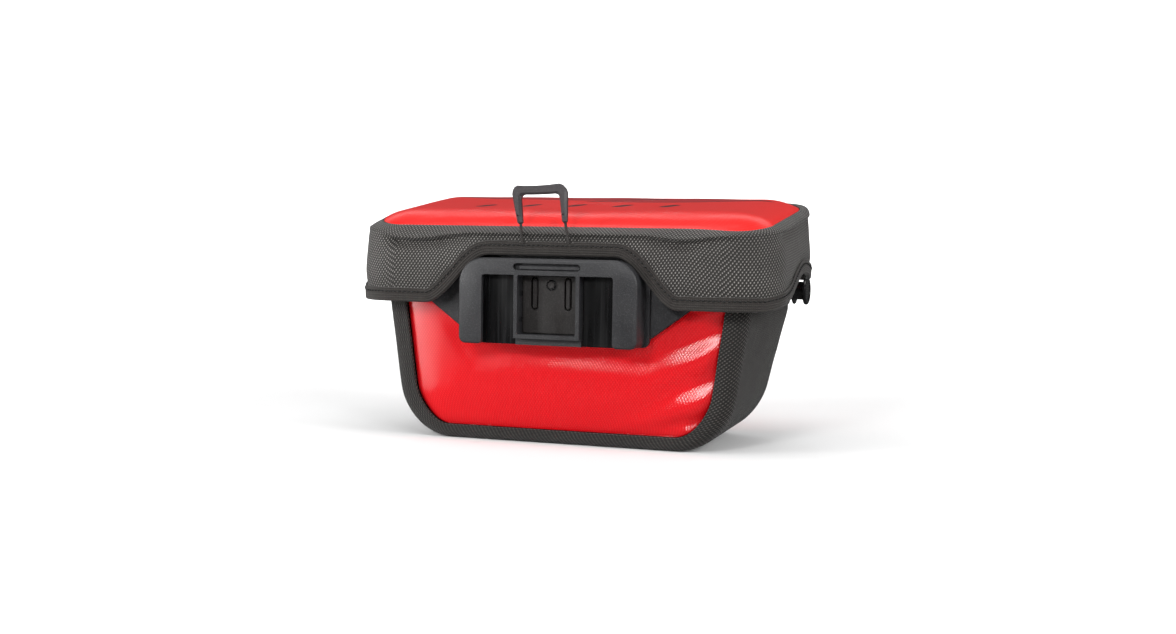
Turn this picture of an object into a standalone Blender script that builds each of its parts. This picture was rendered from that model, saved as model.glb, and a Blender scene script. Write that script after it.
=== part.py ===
"""A bicycle handlebar bag with its moulded adapter plate, closed, standing on its flat bottom.

Metres, +Z up. The adapter faces -Y, the lid's front edge faces +Y, and the bag is the same on both sides
of X = 0 apart from the pull grip. The origin is under the middle of the whole bag, on the surface it
stands on. Cloth is drawn by its outer face and given its thickness inwards.
"""

import math

import bmesh
import bpy
from mathutils import Vector

# Cloth and clearances
CLOTH = 0.0020
LID_CLOTH = 0.0014
LID_BOARD = 0.0020
SEAM_GAP = 0.0003
RIM_GAP = 0.0006
REST_GAP = 0.0007

# Body: two ends joined by a gusset that runs down one side, along the bottom and up the other
BODY_DEPTH = 0.095
BODY_HALF = 0.109
SHOULDER_Z = 0.079
REAR_LEAN = 0.165
FRONT_LEAN = 0.200
REAR_RADIUS = 0.0346
FRONT_RADIUS = 0.040
EDGE_RADIUS = 0.008
BORDER = 0.0125
SIDE_BULGE = 0.0080
BULGE_START_Z = 0.022
PANEL_BULGE = 0.0025
PANEL_FLAT_BELOW = 0.0125

# Lid: a crowned top in a sloping rim, with a skirt that hangs clear of the body
LID_SIDE_REACH = 0.016
LID_REAR_REACH = 0.0123
LID_FRONT_REACH = 0.011
LID_CORNER = 0.0246
RIDGE_Z = 0.120
LID_SLOPE = 0.13
RIM_WIDTH = 0.008
RIM_RISE = 0.005
RIM_RISE_REAR = 0.0028
CROWN = 0.005
CROWN_RUN = 0.028
RIDGE_DIP = 0.0026
DIP_X = 0.066
DIP_HALF = 0.036
SKIRT_FLARE = 0.0015
SKIRT_TUCK = 0.0005
DIP_TUCK = 0.0014

# Hem: the skirt's lower edge, cut away over the adapter and over each stud
HEM_Z = 0.0795
TAPE_HEIGHT = 0.0080
TAPE_WALL = 0.0008
TAPE_CLEAR = 0.0018
NOTCH_RISE = 0.0280
NOTCH_FLAT = 0.038
NOTCH_FOOT = 0.077
ARCH_RISE = 0.0158
ARCH_HALF = 0.040

# Adapter: a base plate with wings and a raised frame that slides over the handlebar's holder
ADAPTER_REACH = 0.021
PLATE_THICK = 0.0030
PLATE_TOP_Z = 0.104
WING_HALF = 0.084
WING_Z = 0.0835
WING_FOOT_HALF = 0.058
WING_FOOT_Z = 0.0645
FRAME_HALF = 0.0527
FRAME_TOP_Z = 0.1053
FRAME_FOOT_Z = 0.0577
FRAME_SHOULDER = 0.0145
FRAME_CHAMFER = 0.0040
FLANGE_WIDTH = 0.0026
FLANGE_THICK = 0.0020
FRAME_WALL = 0.0022
LEG_INNER_HALF = 0.0389
RECESS_TOP_Z = 0.0968
RECESS_DEPTH = 0.0080
WINDOW_HALF = 0.0195
SILL_Z = 0.0615
SILL_STEP = 0.0040
PAD_THICK = 0.0012
LOCK_THICK = 0.0025
LOCK_MARGIN = 0.0018
SLOT_X = 0.0099
SLOT_WIDTH = 0.0038
SLOT_LENGTH = 0.0172
TONGUE_THICK = 0.0018
TONGUE_ROOM = 0.0012
RING_RADIUS = 0.0031
RING_HOLE = 0.0017
RING_BELOW_TOP = 0.0056
RING_THICK = 0.0010
BAR_SLOT_HALF = 0.0181
BAR_SLOT_WIDTH = 0.0036
BAR_SLOT_DEPTH = 0.0030
BAR_THICK = 0.0018
BAR_ROOM = 0.0009
PLASTIC_EDGE = 0.0006
LOCK_EDGE = 0.0003

# Pull grip on two short cords that come out of the hem tape
GRIP_X = -0.0026
GRIP_SWAY = -0.0022
GRIP_FOOT_Z = 0.1254
GRIP_TOP_Z = 0.1474
GRIP_TOP_HALF = 0.0167
GRIP_FOOT_HALF = 0.0150
GRIP_BAR = 0.0044
GRIP_FOOT_WIDTH = 0.0032
GRIP_THICK = 0.0042
GRIP_CHAMFER = 0.0032
GRIP_INNER_CHAMFER = 0.0011
GRIP_EDGE = 0.0009
CORD_RADIUS = 0.0008

# Strap studs, one on each side in the hem's arch
STUD_Z = 0.088
STUD_Y_SHARE = 0.63
STUD_REACH = 0.0127
STUD_FLANGE = 0.0080
STUD_INNER_FLANGE = 0.0072
STUD_BARREL = 0.0037
STUD_BASE = 0.0082
STUD_FLANGE_THICK = 0.0022
STUD_EDGE = 0.0005
STUD_INNER_THICK = 0.0011
STUD_WAIST = 0.0052
STUD_BASE_THICK = 0.0014

# How finely curved pieces are divided, and what counts as straight, as facing a side, or as an edge
SIDE_STEPS = 3
ARC_STEPS = 6
FLOOR_STEPS = 3
EDGE_STEPS = 3
CORNER_STEPS = 5
NOTCH_STEPS = 8
ARCH_STEPS = 14
FRONT_STEPS = 6
PANEL_COLUMNS = 12
ROUND_STEPS = 24
STRAIGHT = 0.99
SIDE_FACING = 0.5
LEAST_BEND = 0.01
MERGE = 1e-6
SHARP_ANGLE = math.radians(35)
BEVEL_ANGLE = math.radians(40)

# What the sizes above fix
LID_HALF = BODY_HALF + LID_SIDE_REACH
LID_FRONT_EDGE = BODY_DEPTH + LID_FRONT_REACH + SKIRT_FLARE + SEAM_GAP + TAPE_WALL
REAR_Y = (ADAPTER_REACH - LID_FRONT_EDGE) / 2
FRONT_Y = REAR_Y + BODY_DEPTH
LID_REAR = REAR_Y - LID_REAR_REACH
LID_FRONT = FRONT_Y + LID_FRONT_REACH
STUD_Y = REAR_Y + STUD_Y_SHARE * BODY_DEPTH
PLATE_BACK = REAR_Y - SEAM_GAP
PLATE_FACE = PLATE_BACK - PLATE_THICK
FRAME_BACK = PLATE_FACE - SEAM_GAP
FRAME_FACE = REAR_Y - ADAPTER_REACH
RECESS_FLOOR = FRAME_FACE + RECESS_DEPTH
BAR_Z = (RECESS_TOP_Z + FRAME_TOP_Z) / 2
CUT_PAST = 0.002

# Rows of the skirt below the ridge: share of its free height, share of the flare, share of the tuck
SKIRT_ROWS = (
    (0.22, 0.10, 1.00),
    (0.58, 0.60, 0.15),
    (1.00, 1.00, 0.00),
)

# Places along the gusset's depth: share of the depth, with one under the stud
SIDE_SHARES = (0.28, 0.46, STUD_Y_SHARE, 0.77)

# Rings of the lid's top: share of the way from its edge to the middle
TOP_RINGS = (0.0, 0.05, 0.12, 0.22, 0.38)


def clear_scene():
    for old in list(bpy.data.objects):
        bpy.data.objects.remove(old, do_unlink=True)


def make_collection(name):
    made = bpy.data.collections.new(name)
    bpy.context.scene.collection.children.link(made)
    return made


def make_material(name, colour, roughness, metallic=0.0):
    made = bpy.data.materials.new(name)
    made.use_nodes = True
    shader = made.node_tree.nodes["Principled BSDF"]
    shader.inputs["Base Color"].default_value = (*colour, 1.0)
    shader.inputs["Roughness"].default_value = roughness
    shader.inputs["Metallic"].default_value = metallic
    return made


def smooth(share):
    share = min(max(share, 0.0), 1.0)
    return share * share * (3 - 2 * share)


def steps(count):
    return [index / count for index in range(count + 1)]


def object_from(name, bm, material, group):
    mesh = bpy.data.meshes.new(name)
    bm.to_mesh(mesh)
    bm.free()
    made = bpy.data.objects.new(name, mesh)
    group.objects.link(made)
    if material:
        mesh.materials.append(material)
    mesh.shade_smooth()
    mesh.set_sharp_from_angle(angle=SHARP_ANGLE)
    return made


def add_thickness(piece, thickness):
    wall = piece.modifiers.new("Cloth thickness", "SOLIDIFY")
    wall.thickness = thickness
    wall.offset = -1.0
    wall.use_even_offset = True


def add_bevel(piece, width, segments=1):
    edge = piece.modifiers.new("Rounded edges", "BEVEL")
    edge.width = width
    edge.segments = segments
    edge.limit_method = "ANGLE"
    edge.angle_limit = BEVEL_ANGLE


def combine(piece, helper, operation="DIFFERENCE"):
    """Cuts a piece with another mesh, or joins the two. The other one stays as a wire helper."""
    helper.hide_render = True
    helper.display_type = "WIRE"
    change = piece.modifiers.new(helper.name, "BOOLEAN")
    change.operation = operation
    change.solver = "EXACT"
    change.object = helper


def quad_sheet(rows, closed):
    """An open sheet through rows of points, closed round its columns when the rows are rings."""
    bm = bmesh.new()
    grid = [[bm.verts.new(point) for point in row] for row in rows]
    count = len(rows[0])
    for upper, lower in zip(grid, grid[1:]):
        for index in range(count if closed else count - 1):
            after = (index + 1) % count
            bm.faces.new((upper[index], upper[after], lower[after], lower[index]))
    return bm, grid


def face_towards(bm, direction):
    """Turns the faces of an open sheet so that they look towards a direction on the whole."""
    bmesh.ops.recalc_face_normals(bm, faces=bm.faces)
    bm.normal_update()
    total = sum((face.normal * face.calc_area() for face in bm.faces), Vector())
    if total.dot(direction) < 0:
        bmesh.ops.reverse_faces(bm, faces=bm.faces)


def ring_from_normal(angle, corner_x, corner_y):
    normal = Vector((math.cos(angle), math.sin(angle)))
    return (corner_x + LID_CORNER * normal.x, corner_y + LID_CORNER * normal.y, normal.x, normal.y)


def rear_stations():
    """Places across the lid's rear edge, close together where the hem climbs over the adapter."""
    straight = LID_HALF - LID_CORNER
    half = [0.0, NOTCH_FLAT / 2]
    half += [NOTCH_FLAT + share * (NOTCH_FOOT - NOTCH_FLAT) for share in steps(NOTCH_STEPS)]
    half += [(NOTCH_FOOT + straight) / 2]
    return [-x for x in reversed(half[1:])] + half


def lid_ring():
    """The lid's ridge seen from above, as x, y and the outward direction, anticlockwise from the rear."""
    straight_x = LID_HALF - LID_CORNER
    low_y = LID_REAR + LID_CORNER
    high_y = LID_FRONT - LID_CORNER
    ring = [(x, LID_REAR, 0.0, -1.0) for x in rear_stations()]
    corners = (
        (straight_x, low_y, -90, ARCH_STEPS, (LID_HALF, low_y), (LID_HALF, high_y), (1.0, 0.0)),
        (straight_x, high_y, 0, FRONT_STEPS, (straight_x, LID_FRONT), (-straight_x, LID_FRONT), (0.0, 1.0)),
        (-straight_x, high_y, 90, ARCH_STEPS, (-LID_HALF, high_y), (-LID_HALF, low_y), (-1.0, 0.0)),
        (-straight_x, low_y, 180, 0, None, None, None),
    )
    for corner_x, corner_y, start, count, begin, end, normal in corners:
        for share in steps(CORNER_STEPS):
            ring.append(ring_from_normal(math.radians(start + 90 * share), corner_x, corner_y))
        for share in steps(count)[1:-1] if count else ():
            x = begin[0] + share * (end[0] - begin[0])
            y = begin[1] + share * (end[1] - begin[1])
            ring.append((x, y, *normal))
    return ring


def inward_distance(x, y):
    """How far a place lies inside the lid's ridge, and how much that place faces the rear."""
    middle_y = (LID_REAR + LID_FRONT) / 2
    reach_x = abs(x) - (LID_HALF - LID_CORNER)
    reach_y = abs(y - middle_y) - ((LID_FRONT - LID_REAR) / 2 - LID_CORNER)
    outside = math.hypot(max(reach_x, 0.0), max(reach_y, 0.0))
    inside = min(max(reach_x, reach_y), 0.0)
    rearward = 0.0
    if y < middle_y and reach_y > 0:
        rearward = max(reach_y, 0.0) / math.hypot(max(reach_x, 0.0), reach_y)
    elif y < middle_y and reach_y > reach_x:
        rearward = 1.0
    return LID_CORNER - outside - inside, rearward


def lid_height(x, y):
    """The outer face of the closed lid above a place."""
    inward, rearward = inward_distance(x, y)
    rise = RIM_RISE + (RIM_RISE_REAR - RIM_RISE) * rearward
    height = RIDGE_Z + LID_SLOPE * (y - LID_REAR)
    height += rise * min(max(inward / RIM_WIDTH, 0.0), 1.0)
    over = min(max((inward - RIM_WIDTH) / CROWN_RUN, 0.0), 1.0)
    lift = CROWN + RIM_RISE - rise
    return height + lift * (1 - (1 - over) ** 2)


def body_top(x, y):
    """The top edge of the body's wall, just under the lid."""
    return lid_height(x, y) - LID_BOARD - REST_GAP


def ridge_dip(x, normal_y):
    """The soft dip of the rear ridge on each side of the adapter, 0 to 1."""
    if -normal_y < STRAIGHT:
        return 0.0
    return smooth(1 - abs(abs(x) - DIP_X) / DIP_HALF)


def hem_height(x, y, normal_x, normal_y):
    """The lowest edge of the hem under a place on the ridge."""
    height = HEM_Z + LID_SLOPE * (y - LID_REAR)
    if -normal_y > STRAIGHT:
        height += NOTCH_RISE * (1 - smooth((abs(x) - NOTCH_FLAT) / (NOTCH_FOOT - NOTCH_FLAT)))
    if abs(normal_x) > SIDE_FACING:
        height += ARCH_RISE * (1 - smooth(abs(y - STUD_Y) / ARCH_HALF))
    return height


def hem_frames():
    """For each place on the ridge: the hem's lowest point on the skirt, outwards, and up the cloth."""
    ring = lid_ring()
    points = []
    for x, y, normal_x, normal_y in ring:
        foot = Vector((x + normal_x * SKIRT_FLARE, y + normal_y * SKIRT_FLARE, 0.0))
        foot.z = hem_height(x, y, normal_x, normal_y)
        points.append(foot)
    frames = []
    for index, (x, y, normal_x, normal_y) in enumerate(ring):
        along = points[(index + 1) % len(points)] - points[index - 1]
        out = Vector((normal_x, normal_y, 0.0))
        after = ring[(index + 1) % len(ring)]
        before = ring[index - 1]
        bend = math.dist(after[2:], before[2:])
        up = out.cross(along).normalized() if bend < LEAST_BEND else Vector((0.0, 0.0, 1.0))
        frames.append((points[index], out, up if up.z > 0 else -up))
    return ring, frames


def half_outline(lean, radius):
    """Half a body end from its shoulder down to its flat bottom: x, z and the outward direction."""
    tilt = math.atan(lean)
    side = Vector((math.cos(tilt), -math.sin(tilt)))
    arc_start_x = BODY_HALF - lean * (SHOULDER_Z - radius * (1 - math.sin(tilt)))
    centre = Vector((arc_start_x - radius * side.x, radius))
    points = [(BODY_HALF, SHOULDER_Z, (side + Vector((1.0, 0.0))).normalized())]
    for share in steps(SIDE_STEPS)[1:-1]:
        z = SHOULDER_Z + share * (radius * (1 - math.sin(tilt)) - SHOULDER_Z)
        points.append((BODY_HALF - lean * (SHOULDER_Z - z), z, side))
    for share in steps(ARC_STEPS):
        angle = -tilt + share * (tilt - math.pi / 2)
        out = Vector((math.cos(angle), math.sin(angle)))
        points.append((centre.x + radius * out.x, centre.y + radius * out.y, out))
    return points, centre.x


def gusset_path():
    """The gusset from rear border to front border: share of the depth, and inward reach."""
    turn = [math.radians(90 * share) for share in steps(EDGE_STEPS)]
    rear = [(EDGE_RADIUS * (1 - math.sin(a)), EDGE_RADIUS * (1 - math.cos(a))) for a in turn]
    path = [(0.0, BORDER), (0.0, (BORDER + EDGE_RADIUS) / 2)]
    path += [(y / BODY_DEPTH, reach) for reach, y in rear]
    middle = [(share, 0.0) for share in SIDE_SHARES]
    front = [(1 - share, reach) for share, reach in reversed(path)]
    return path + middle + front


def side_swell(share, z):
    """How far the soft side fills out, 0 to 1: fullest under the stud, and nothing at the bottom."""
    crest = math.log(0.5) / math.log(STUD_Y_SHARE)
    upward = smooth((z - BULGE_START_Z) / (SHOULDER_Z - BULGE_START_Z))
    return math.sin(math.pi * share**crest) * upward


def gusset_point(rear, front, share, reach):
    """A point of the gusset between matching places of the two ends."""
    x = rear[0] + share * (front[0] - rear[0])
    z = rear[1] + share * (front[1] - rear[1])
    out = (rear[2] + share * (front[2] - rear[2])).normalized()
    offset = SIDE_BULGE * side_swell(share, z) - reach
    return Vector((x + out.x * offset, REAR_Y + share * BODY_DEPTH, z + out.y * offset))


def side_width(z, y):
    """The body's half width at a height and depth above the bottom's corners."""
    share = (y - REAR_Y) / BODY_DEPTH
    lean = REAR_LEAN + share * (FRONT_LEAN - REAR_LEAN)
    return BODY_HALF - lean * max(SHOULDER_Z - z, 0.0) + SIDE_BULGE * side_swell(share, z)


def make_gusset(material, group):
    """Sides and bottom in one strip of cloth, folded over the ends as a border."""
    rear_half, rear_floor = half_outline(REAR_LEAN, REAR_RADIUS)
    front_half, front_floor = half_outline(FRONT_LEAN, FRONT_RADIUS)
    down = Vector((0.0, -1.0))
    for share in steps(FLOOR_STEPS)[1:]:
        rear_half.append((rear_floor * (1 - share), 0.0, down))
        front_half.append((front_floor * (1 - share), 0.0, down))
    right = []
    for rear, front in zip(rear_half, front_half):
        right.append([gusset_point(rear, front, *place) for place in gusset_path()])
    upright = Vector((1.0, 0.0))
    top_line = []
    for share, reach in gusset_path():
        top = (BODY_HALF, SHOULDER_Z, upright)
        point = gusset_point(top, top, share, reach)
        point.z = body_top(point.x, point.y)
        top_line.append(point)
    halfway = [(top + low) / 2 for top, low in zip(top_line, right[0])]
    right = [top_line, halfway] + right
    left = [[Vector((-p.x, p.y, p.z)) for p in row] for row in reversed(right[:-1])]
    bm, _ = quad_sheet(right + left, closed=False)
    face_towards(bm, Vector((0.0, 0.0, -1.0)))
    piece = object_from("body_gusset", bm, material, group)
    add_thickness(piece, CLOTH)
    return piece


def make_end_panel(name, lean, radius, plane_y, outward, material, group):
    """A red end: flat behind the adapter, softly filled out below it."""
    outline, _ = half_outline(lean, radius)
    inset = BORDER + SEAM_GAP
    edge = [(x - out.x * inset, z - out.y * inset) for x, z, out in outline]
    top_x = BODY_HALF - inset
    edge = [(top_x, None), (top_x, (SHOULDER_Z + RIDGE_Z) / 2)] + edge
    flat_from = FRAME_FOOT_Z - PANEL_FLAT_BELOW
    rows = []
    for half, z in edge:
        row = []
        for share in steps(PANEL_COLUMNS):
            across = 2 * share - 1
            x = half * across
            height = body_top(x, plane_y) if z is None else z
            fill = (1 - across**2) * math.sin(math.pi * min(height / flat_from, 1.0))
            row.append((x, plane_y + outward * PANEL_BULGE * max(fill, 0.0), height))
        rows.append(row)
    bm, _ = quad_sheet(rows, closed=False)
    face_towards(bm, Vector((0.0, outward, 0.0)))
    piece = object_from(name, bm, material, group)
    add_thickness(piece, CLOTH)
    return piece


def make_lid_shell(material, group):
    """The grey lid cloth: a sloping rim, a ridge, and a skirt down into the hem tape."""
    ring, frames = hem_frames()
    rows = [[] for _ in range(4 + len(SKIRT_ROWS))]
    for (x, y, normal_x, normal_y), (foot, _, up) in zip(ring, frames):
        dip = ridge_dip(x, normal_y)
        ridge = lid_height(x, y) - RIDGE_DIP * dip
        for row, reach in zip(rows, (RIM_WIDTH, RIM_WIDTH / 2)):
            px = x - normal_x * reach
            py = y - normal_y * reach
            row.append((px, py, lid_height(px, py) - RIDGE_DIP * dip * (1 - reach / RIM_WIDTH)))
        rows[2].append((x, y, ridge))
        steep = 1 / up.z
        free = ridge - foot.z - (TAPE_HEIGHT + TAPE_CLEAR) * steep
        for row, (share, flare, tuck) in zip(rows[3:], SKIRT_ROWS):
            offset = SKIRT_FLARE * flare - (SKIRT_TUCK + DIP_TUCK * dip) * tuck
            row.append((x + normal_x * offset, y + normal_y * offset, ridge - share * free))
        rows[-1].append((foot.x, foot.y, foot.z + (TAPE_WALL + SEAM_GAP) * steep))
    bm, _ = quad_sheet(rows, closed=True)
    bmesh.ops.recalc_face_normals(bm, faces=bm.faces)
    bm.normal_update()
    rear_faces = [f for f in bm.faces if f.calc_center_median().y < LID_REAR]
    if sum(f.normal.y for f in rear_faces) > 0:
        bmesh.ops.reverse_faces(bm, faces=bm.faces)
    piece = object_from("lid_shell", bm, material, group)
    add_thickness(piece, LID_CLOTH)
    return piece


def make_lid_binding(material, group):
    """The hem tape: one strip folded round the skirt's lower edge."""
    _, frames = hem_frames()
    outer = SEAM_GAP + TAPE_WALL
    inner = LID_CLOTH + SEAM_GAP
    profile = (
        (outer, 0.0),
        (outer, TAPE_HEIGHT),
        (SEAM_GAP, TAPE_HEIGHT),
        (SEAM_GAP, TAPE_WALL),
        (-inner, TAPE_WALL),
        (-inner, TAPE_HEIGHT),
        (-inner - TAPE_WALL, TAPE_HEIGHT),
        (-inner - TAPE_WALL, 0.0),
    )
    bm = bmesh.new()
    loops = []
    for foot, out, up in frames:
        loops.append([bm.verts.new(foot + out * reach + up * rise) for reach, rise in profile])
    for index, loop in enumerate(loops):
        after = loops[(index + 1) % len(loops)]
        for corner in range(len(profile)):
            following = (corner + 1) % len(profile)
            bm.faces.new((loop[corner], after[corner], after[following], loop[following]))
    bmesh.ops.recalc_face_normals(bm, faces=bm.faces)
    return object_from("lid_binding", bm, material, group)


def make_lid_panel(material, group):
    """The red lid top, crowned, its edge flush with the rim."""
    middle = Vector((0.0, (LID_REAR + LID_FRONT) / 2))
    inset = RIM_WIDTH + RIM_GAP
    edge = [Vector((x - nx * inset, y - ny * inset)) for x, y, nx, ny in lid_ring()]
    rows = []
    for share in TOP_RINGS:
        places = [point + share * (middle - point) for point in edge]
        rows.append([(p.x, p.y, lid_height(p.x, p.y)) for p in places])
    bm, grid = quad_sheet(rows, closed=True)
    bm.faces.new(grid[-1])
    face_towards(bm, Vector((0.0, 0.0, 1.0)))
    piece = object_from("lid_panel", bm, material, group)
    add_thickness(piece, LID_BOARD)
    return piece


def extruded(name, outline, back_y, front_y, material, group):
    """A closed outline in x and z, extruded between two depths."""
    bm = bmesh.new()
    ring = [bm.verts.new((x, back_y, z)) for x, z in outline]
    face = bm.faces.new(ring)
    lifted = bmesh.ops.extrude_face_region(bm, geom=[face])
    moved = [item for item in lifted["geom"] if isinstance(item, bmesh.types.BMVert)]
    bmesh.ops.translate(bm, verts=moved, vec=(0.0, front_y - back_y, 0.0))
    bmesh.ops.recalc_face_normals(bm, faces=bm.faces)
    return object_from(name, bm, material, group)


def rectangle(low_x, high_x, low_z, high_z):
    return [(low_x, low_z), (high_x, low_z), (high_x, high_z), (low_x, high_z)]


def capsule(middle_x, middle_z, length, width, upright):
    """A slot's outline with round ends."""
    radius = width / 2
    run = length / 2 - radius
    points = []
    for side, start in ((1, -90), (-1, 90)):
        for share in steps(ROUND_STEPS // 4):
            angle = math.radians(start + 180 * share)
            along = side * run + radius * math.cos(angle)
            across = radius * math.sin(angle)
            offset = (-across, along) if upright else (along, across)
            points.append((middle_x + offset[0], middle_z + offset[1]))
    return points


def frame_outline(grow):
    """The adapter frame seen from the rear: round shoulders and chamfered feet."""
    half = FRAME_HALF + grow
    top = FRAME_TOP_Z + grow
    foot = FRAME_FOOT_Z
    radius = FRAME_SHOULDER + grow
    right = [(half - FRAME_CHAMFER, foot), (half, foot + FRAME_CHAMFER)]
    for share in steps(ARC_STEPS):
        angle = math.radians(90 * share)
        right.append((half - radius + radius * math.cos(angle), top - radius + radius * math.sin(angle)))
    return right + [(-x, z) for x, z in reversed(right)]


def make_mount_plate(material, group):
    """The wide base plate that fastens the adapter to the body's rear."""
    straight_foot = FRAME_HALF - FRAME_CHAMFER
    right = [
        (straight_foot, FRAME_FOOT_Z),
        (WING_FOOT_HALF, WING_FOOT_Z),
        (WING_HALF, WING_Z),
        (WING_HALF, PLATE_TOP_Z - FRAME_SHOULDER / 2),
        (WING_HALF - FRAME_SHOULDER, PLATE_TOP_Z),
    ]
    outline = right + [(-x, z) for x, z in reversed(right)]
    piece = extruded("mount_plate", outline, PLATE_BACK, PLATE_FACE, material, group)
    add_bevel(piece, PLASTIC_EDGE)
    return piece


def make_mount_frame(material, group, cutters):
    """The raised frame: two side recesses open below, a middle window, a slot in its top bar."""
    frame = extruded("mount_frame", frame_outline(0.0), FRAME_BACK, FRAME_FACE, material, group)
    flange_face = FRAME_BACK - FLANGE_THICK
    flange = extruded("flange_helper", frame_outline(FLANGE_WIDTH), FRAME_BACK, flange_face, None, cutters)
    combine(frame, flange, "UNION")
    past_face = FRAME_FACE - CUT_PAST
    past_back = FRAME_BACK + CUT_PAST
    below = FRAME_FOOT_Z - CUT_PAST

    def hollow(name, outline, back, front):
        combine(frame, extruded(name, outline, back, front, None, cutters))

    window_half = WINDOW_HALF - FRAME_WALL
    window = rectangle(-window_half, window_half, SILL_Z + FRAME_WALL, RECESS_TOP_Z)
    hollow("window_cutter", window, RECESS_FLOOR, past_face)
    sill = rectangle(-WINDOW_HALF, WINDOW_HALF, below, SILL_Z)
    hollow("sill_cutter", sill, FRAME_FACE + SILL_STEP, past_face)
    slot = capsule(0.0, BAR_Z, 2 * BAR_SLOT_HALF, BAR_SLOT_WIDTH, False)
    hollow("slot_cutter", slot, FRAME_FACE + BAR_SLOT_DEPTH, past_face)
    back_half = LEG_INNER_HALF - FRAME_WALL
    back = rectangle(-back_half, back_half, FRAME_FOOT_Z + FRAME_WALL, FRAME_TOP_Z - FRAME_WALL)
    hollow("back_cutter", back, past_back, RECESS_FLOOR + FRAME_WALL)
    for side, place in ((-1, "left"), (1, "right")):
        inner, outer = sorted((side * WINDOW_HALF, side * LEG_INNER_HALF))
        recess = rectangle(inner, outer, below, RECESS_TOP_Z)
        hollow(f"recess_cutter_{place}", recess, RECESS_FLOOR, past_face)
        inner, outer = sorted((side * (LEG_INNER_HALF + FRAME_WALL), side * (FRAME_HALF - FRAME_WALL)))
        leg = rectangle(inner, outer, FRAME_FOOT_Z + FRAME_CHAMFER, FRAME_TOP_Z - FRAME_SHOULDER)
        hollow(f"leg_cutter_{place}", leg, past_back, FRAME_FACE + FRAME_WALL)
    add_bevel(frame, PLASTIC_EDGE)
    return frame


def make_guide_pads(material, group):
    """The glossy strips on the recess floors that the holder's arms slide on."""
    back = RECESS_FLOOR - SEAM_GAP
    for side, name in ((-1, "guide_pad_left"), (1, "guide_pad_right")):
        inner, outer = sorted((side * (WINDOW_HALF + SEAM_GAP), side * (LEG_INNER_HALF - SEAM_GAP)))
        outline = rectangle(inner, outer, FRAME_FOOT_Z, RECESS_TOP_Z - SEAM_GAP)
        extruded(name, outline, back, back - PAD_THICK, material, group)


def make_lock_plate(material, group, cutters):
    """The latch plate in the window, with two slots, a tongue in each, and a round button."""
    half = WINDOW_HALF - FRAME_WALL - LOCK_MARGIN
    low = SILL_Z + FRAME_WALL + SEAM_GAP
    high = RECESS_TOP_Z - LOCK_MARGIN
    back = RECESS_FLOOR - SEAM_GAP
    face = back - LOCK_THICK
    slot_z = high - LOCK_MARGIN - SLOT_LENGTH / 2
    plate = extruded("lock_plate", rectangle(-half, half, low, high), back, face, material, group)
    for side, place in ((-1, "left"), (1, "right")):
        outline = capsule(side * SLOT_X, slot_z, SLOT_LENGTH, SLOT_WIDTH, True)
        slot = extruded(f"latch_cutter_{place}", outline, back + CUT_PAST, face - CUT_PAST, None, cutters)
        combine(plate, slot)
        length = SLOT_LENGTH - TONGUE_ROOM
        tongue = capsule(side * SLOT_X, slot_z, length, SLOT_WIDTH - TONGUE_ROOM, True)
        extruded(f"lock_tongue_{place}", tongue, back, back - TONGUE_THICK, material, group)
    add_bevel(plate, LOCK_EDGE)
    ring_z = RECESS_TOP_Z - RING_BELOW_TOP
    profile = [
        (RING_HOLE, 0.0),
        (RING_HOLE, RING_THICK),
        (RING_RADIUS, RING_THICK),
        (RING_RADIUS, 0.0),
    ]
    place = (0.0, face - SEAM_GAP, ring_z)
    turned("lock_ring", profile, place, Vector((0.0, -1.0, 0.0)), True, material, group)
    return plate


def make_release_bar(material, group):
    """The bar that lies in the top slot."""
    outline = capsule(0.0, BAR_Z, 2 * (BAR_SLOT_HALF - BAR_ROOM), BAR_SLOT_WIDTH - 2 * BAR_ROOM, False)
    back = FRAME_FACE + BAR_SLOT_DEPTH - SEAM_GAP
    return extruded("release_bar", outline, back, back - BAR_THICK, material, group)


def turned(name, profile, place, axis, ring, material, group):
    """A turned piece from radius and height pairs: a spindle, or a ring when its profile is closed."""
    bm = bmesh.new()
    points = [bm.verts.new((radius, 0.0, height)) for radius, height in profile]
    pairs = list(zip(points, points[1:]))
    if ring:
        pairs.append((points[-1], points[0]))
    for first, second in pairs:
        bm.edges.new((first, second))
    sweep = {"cent": (0, 0, 0), "axis": (0, 0, 1), "angle": 2 * math.pi, "steps": ROUND_STEPS}
    bmesh.ops.spin(bm, geom=list(bm.verts) + list(bm.edges), use_merge=True, **sweep)
    bmesh.ops.remove_doubles(bm, verts=bm.verts, dist=MERGE)
    bmesh.ops.recalc_face_normals(bm, faces=bm.faces)
    made = object_from(name, bm, material, group)
    made.rotation_mode = "QUATERNION"
    made.rotation_quaternion = axis.to_track_quat("Z", "Y")
    made.location = place
    return made


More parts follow.
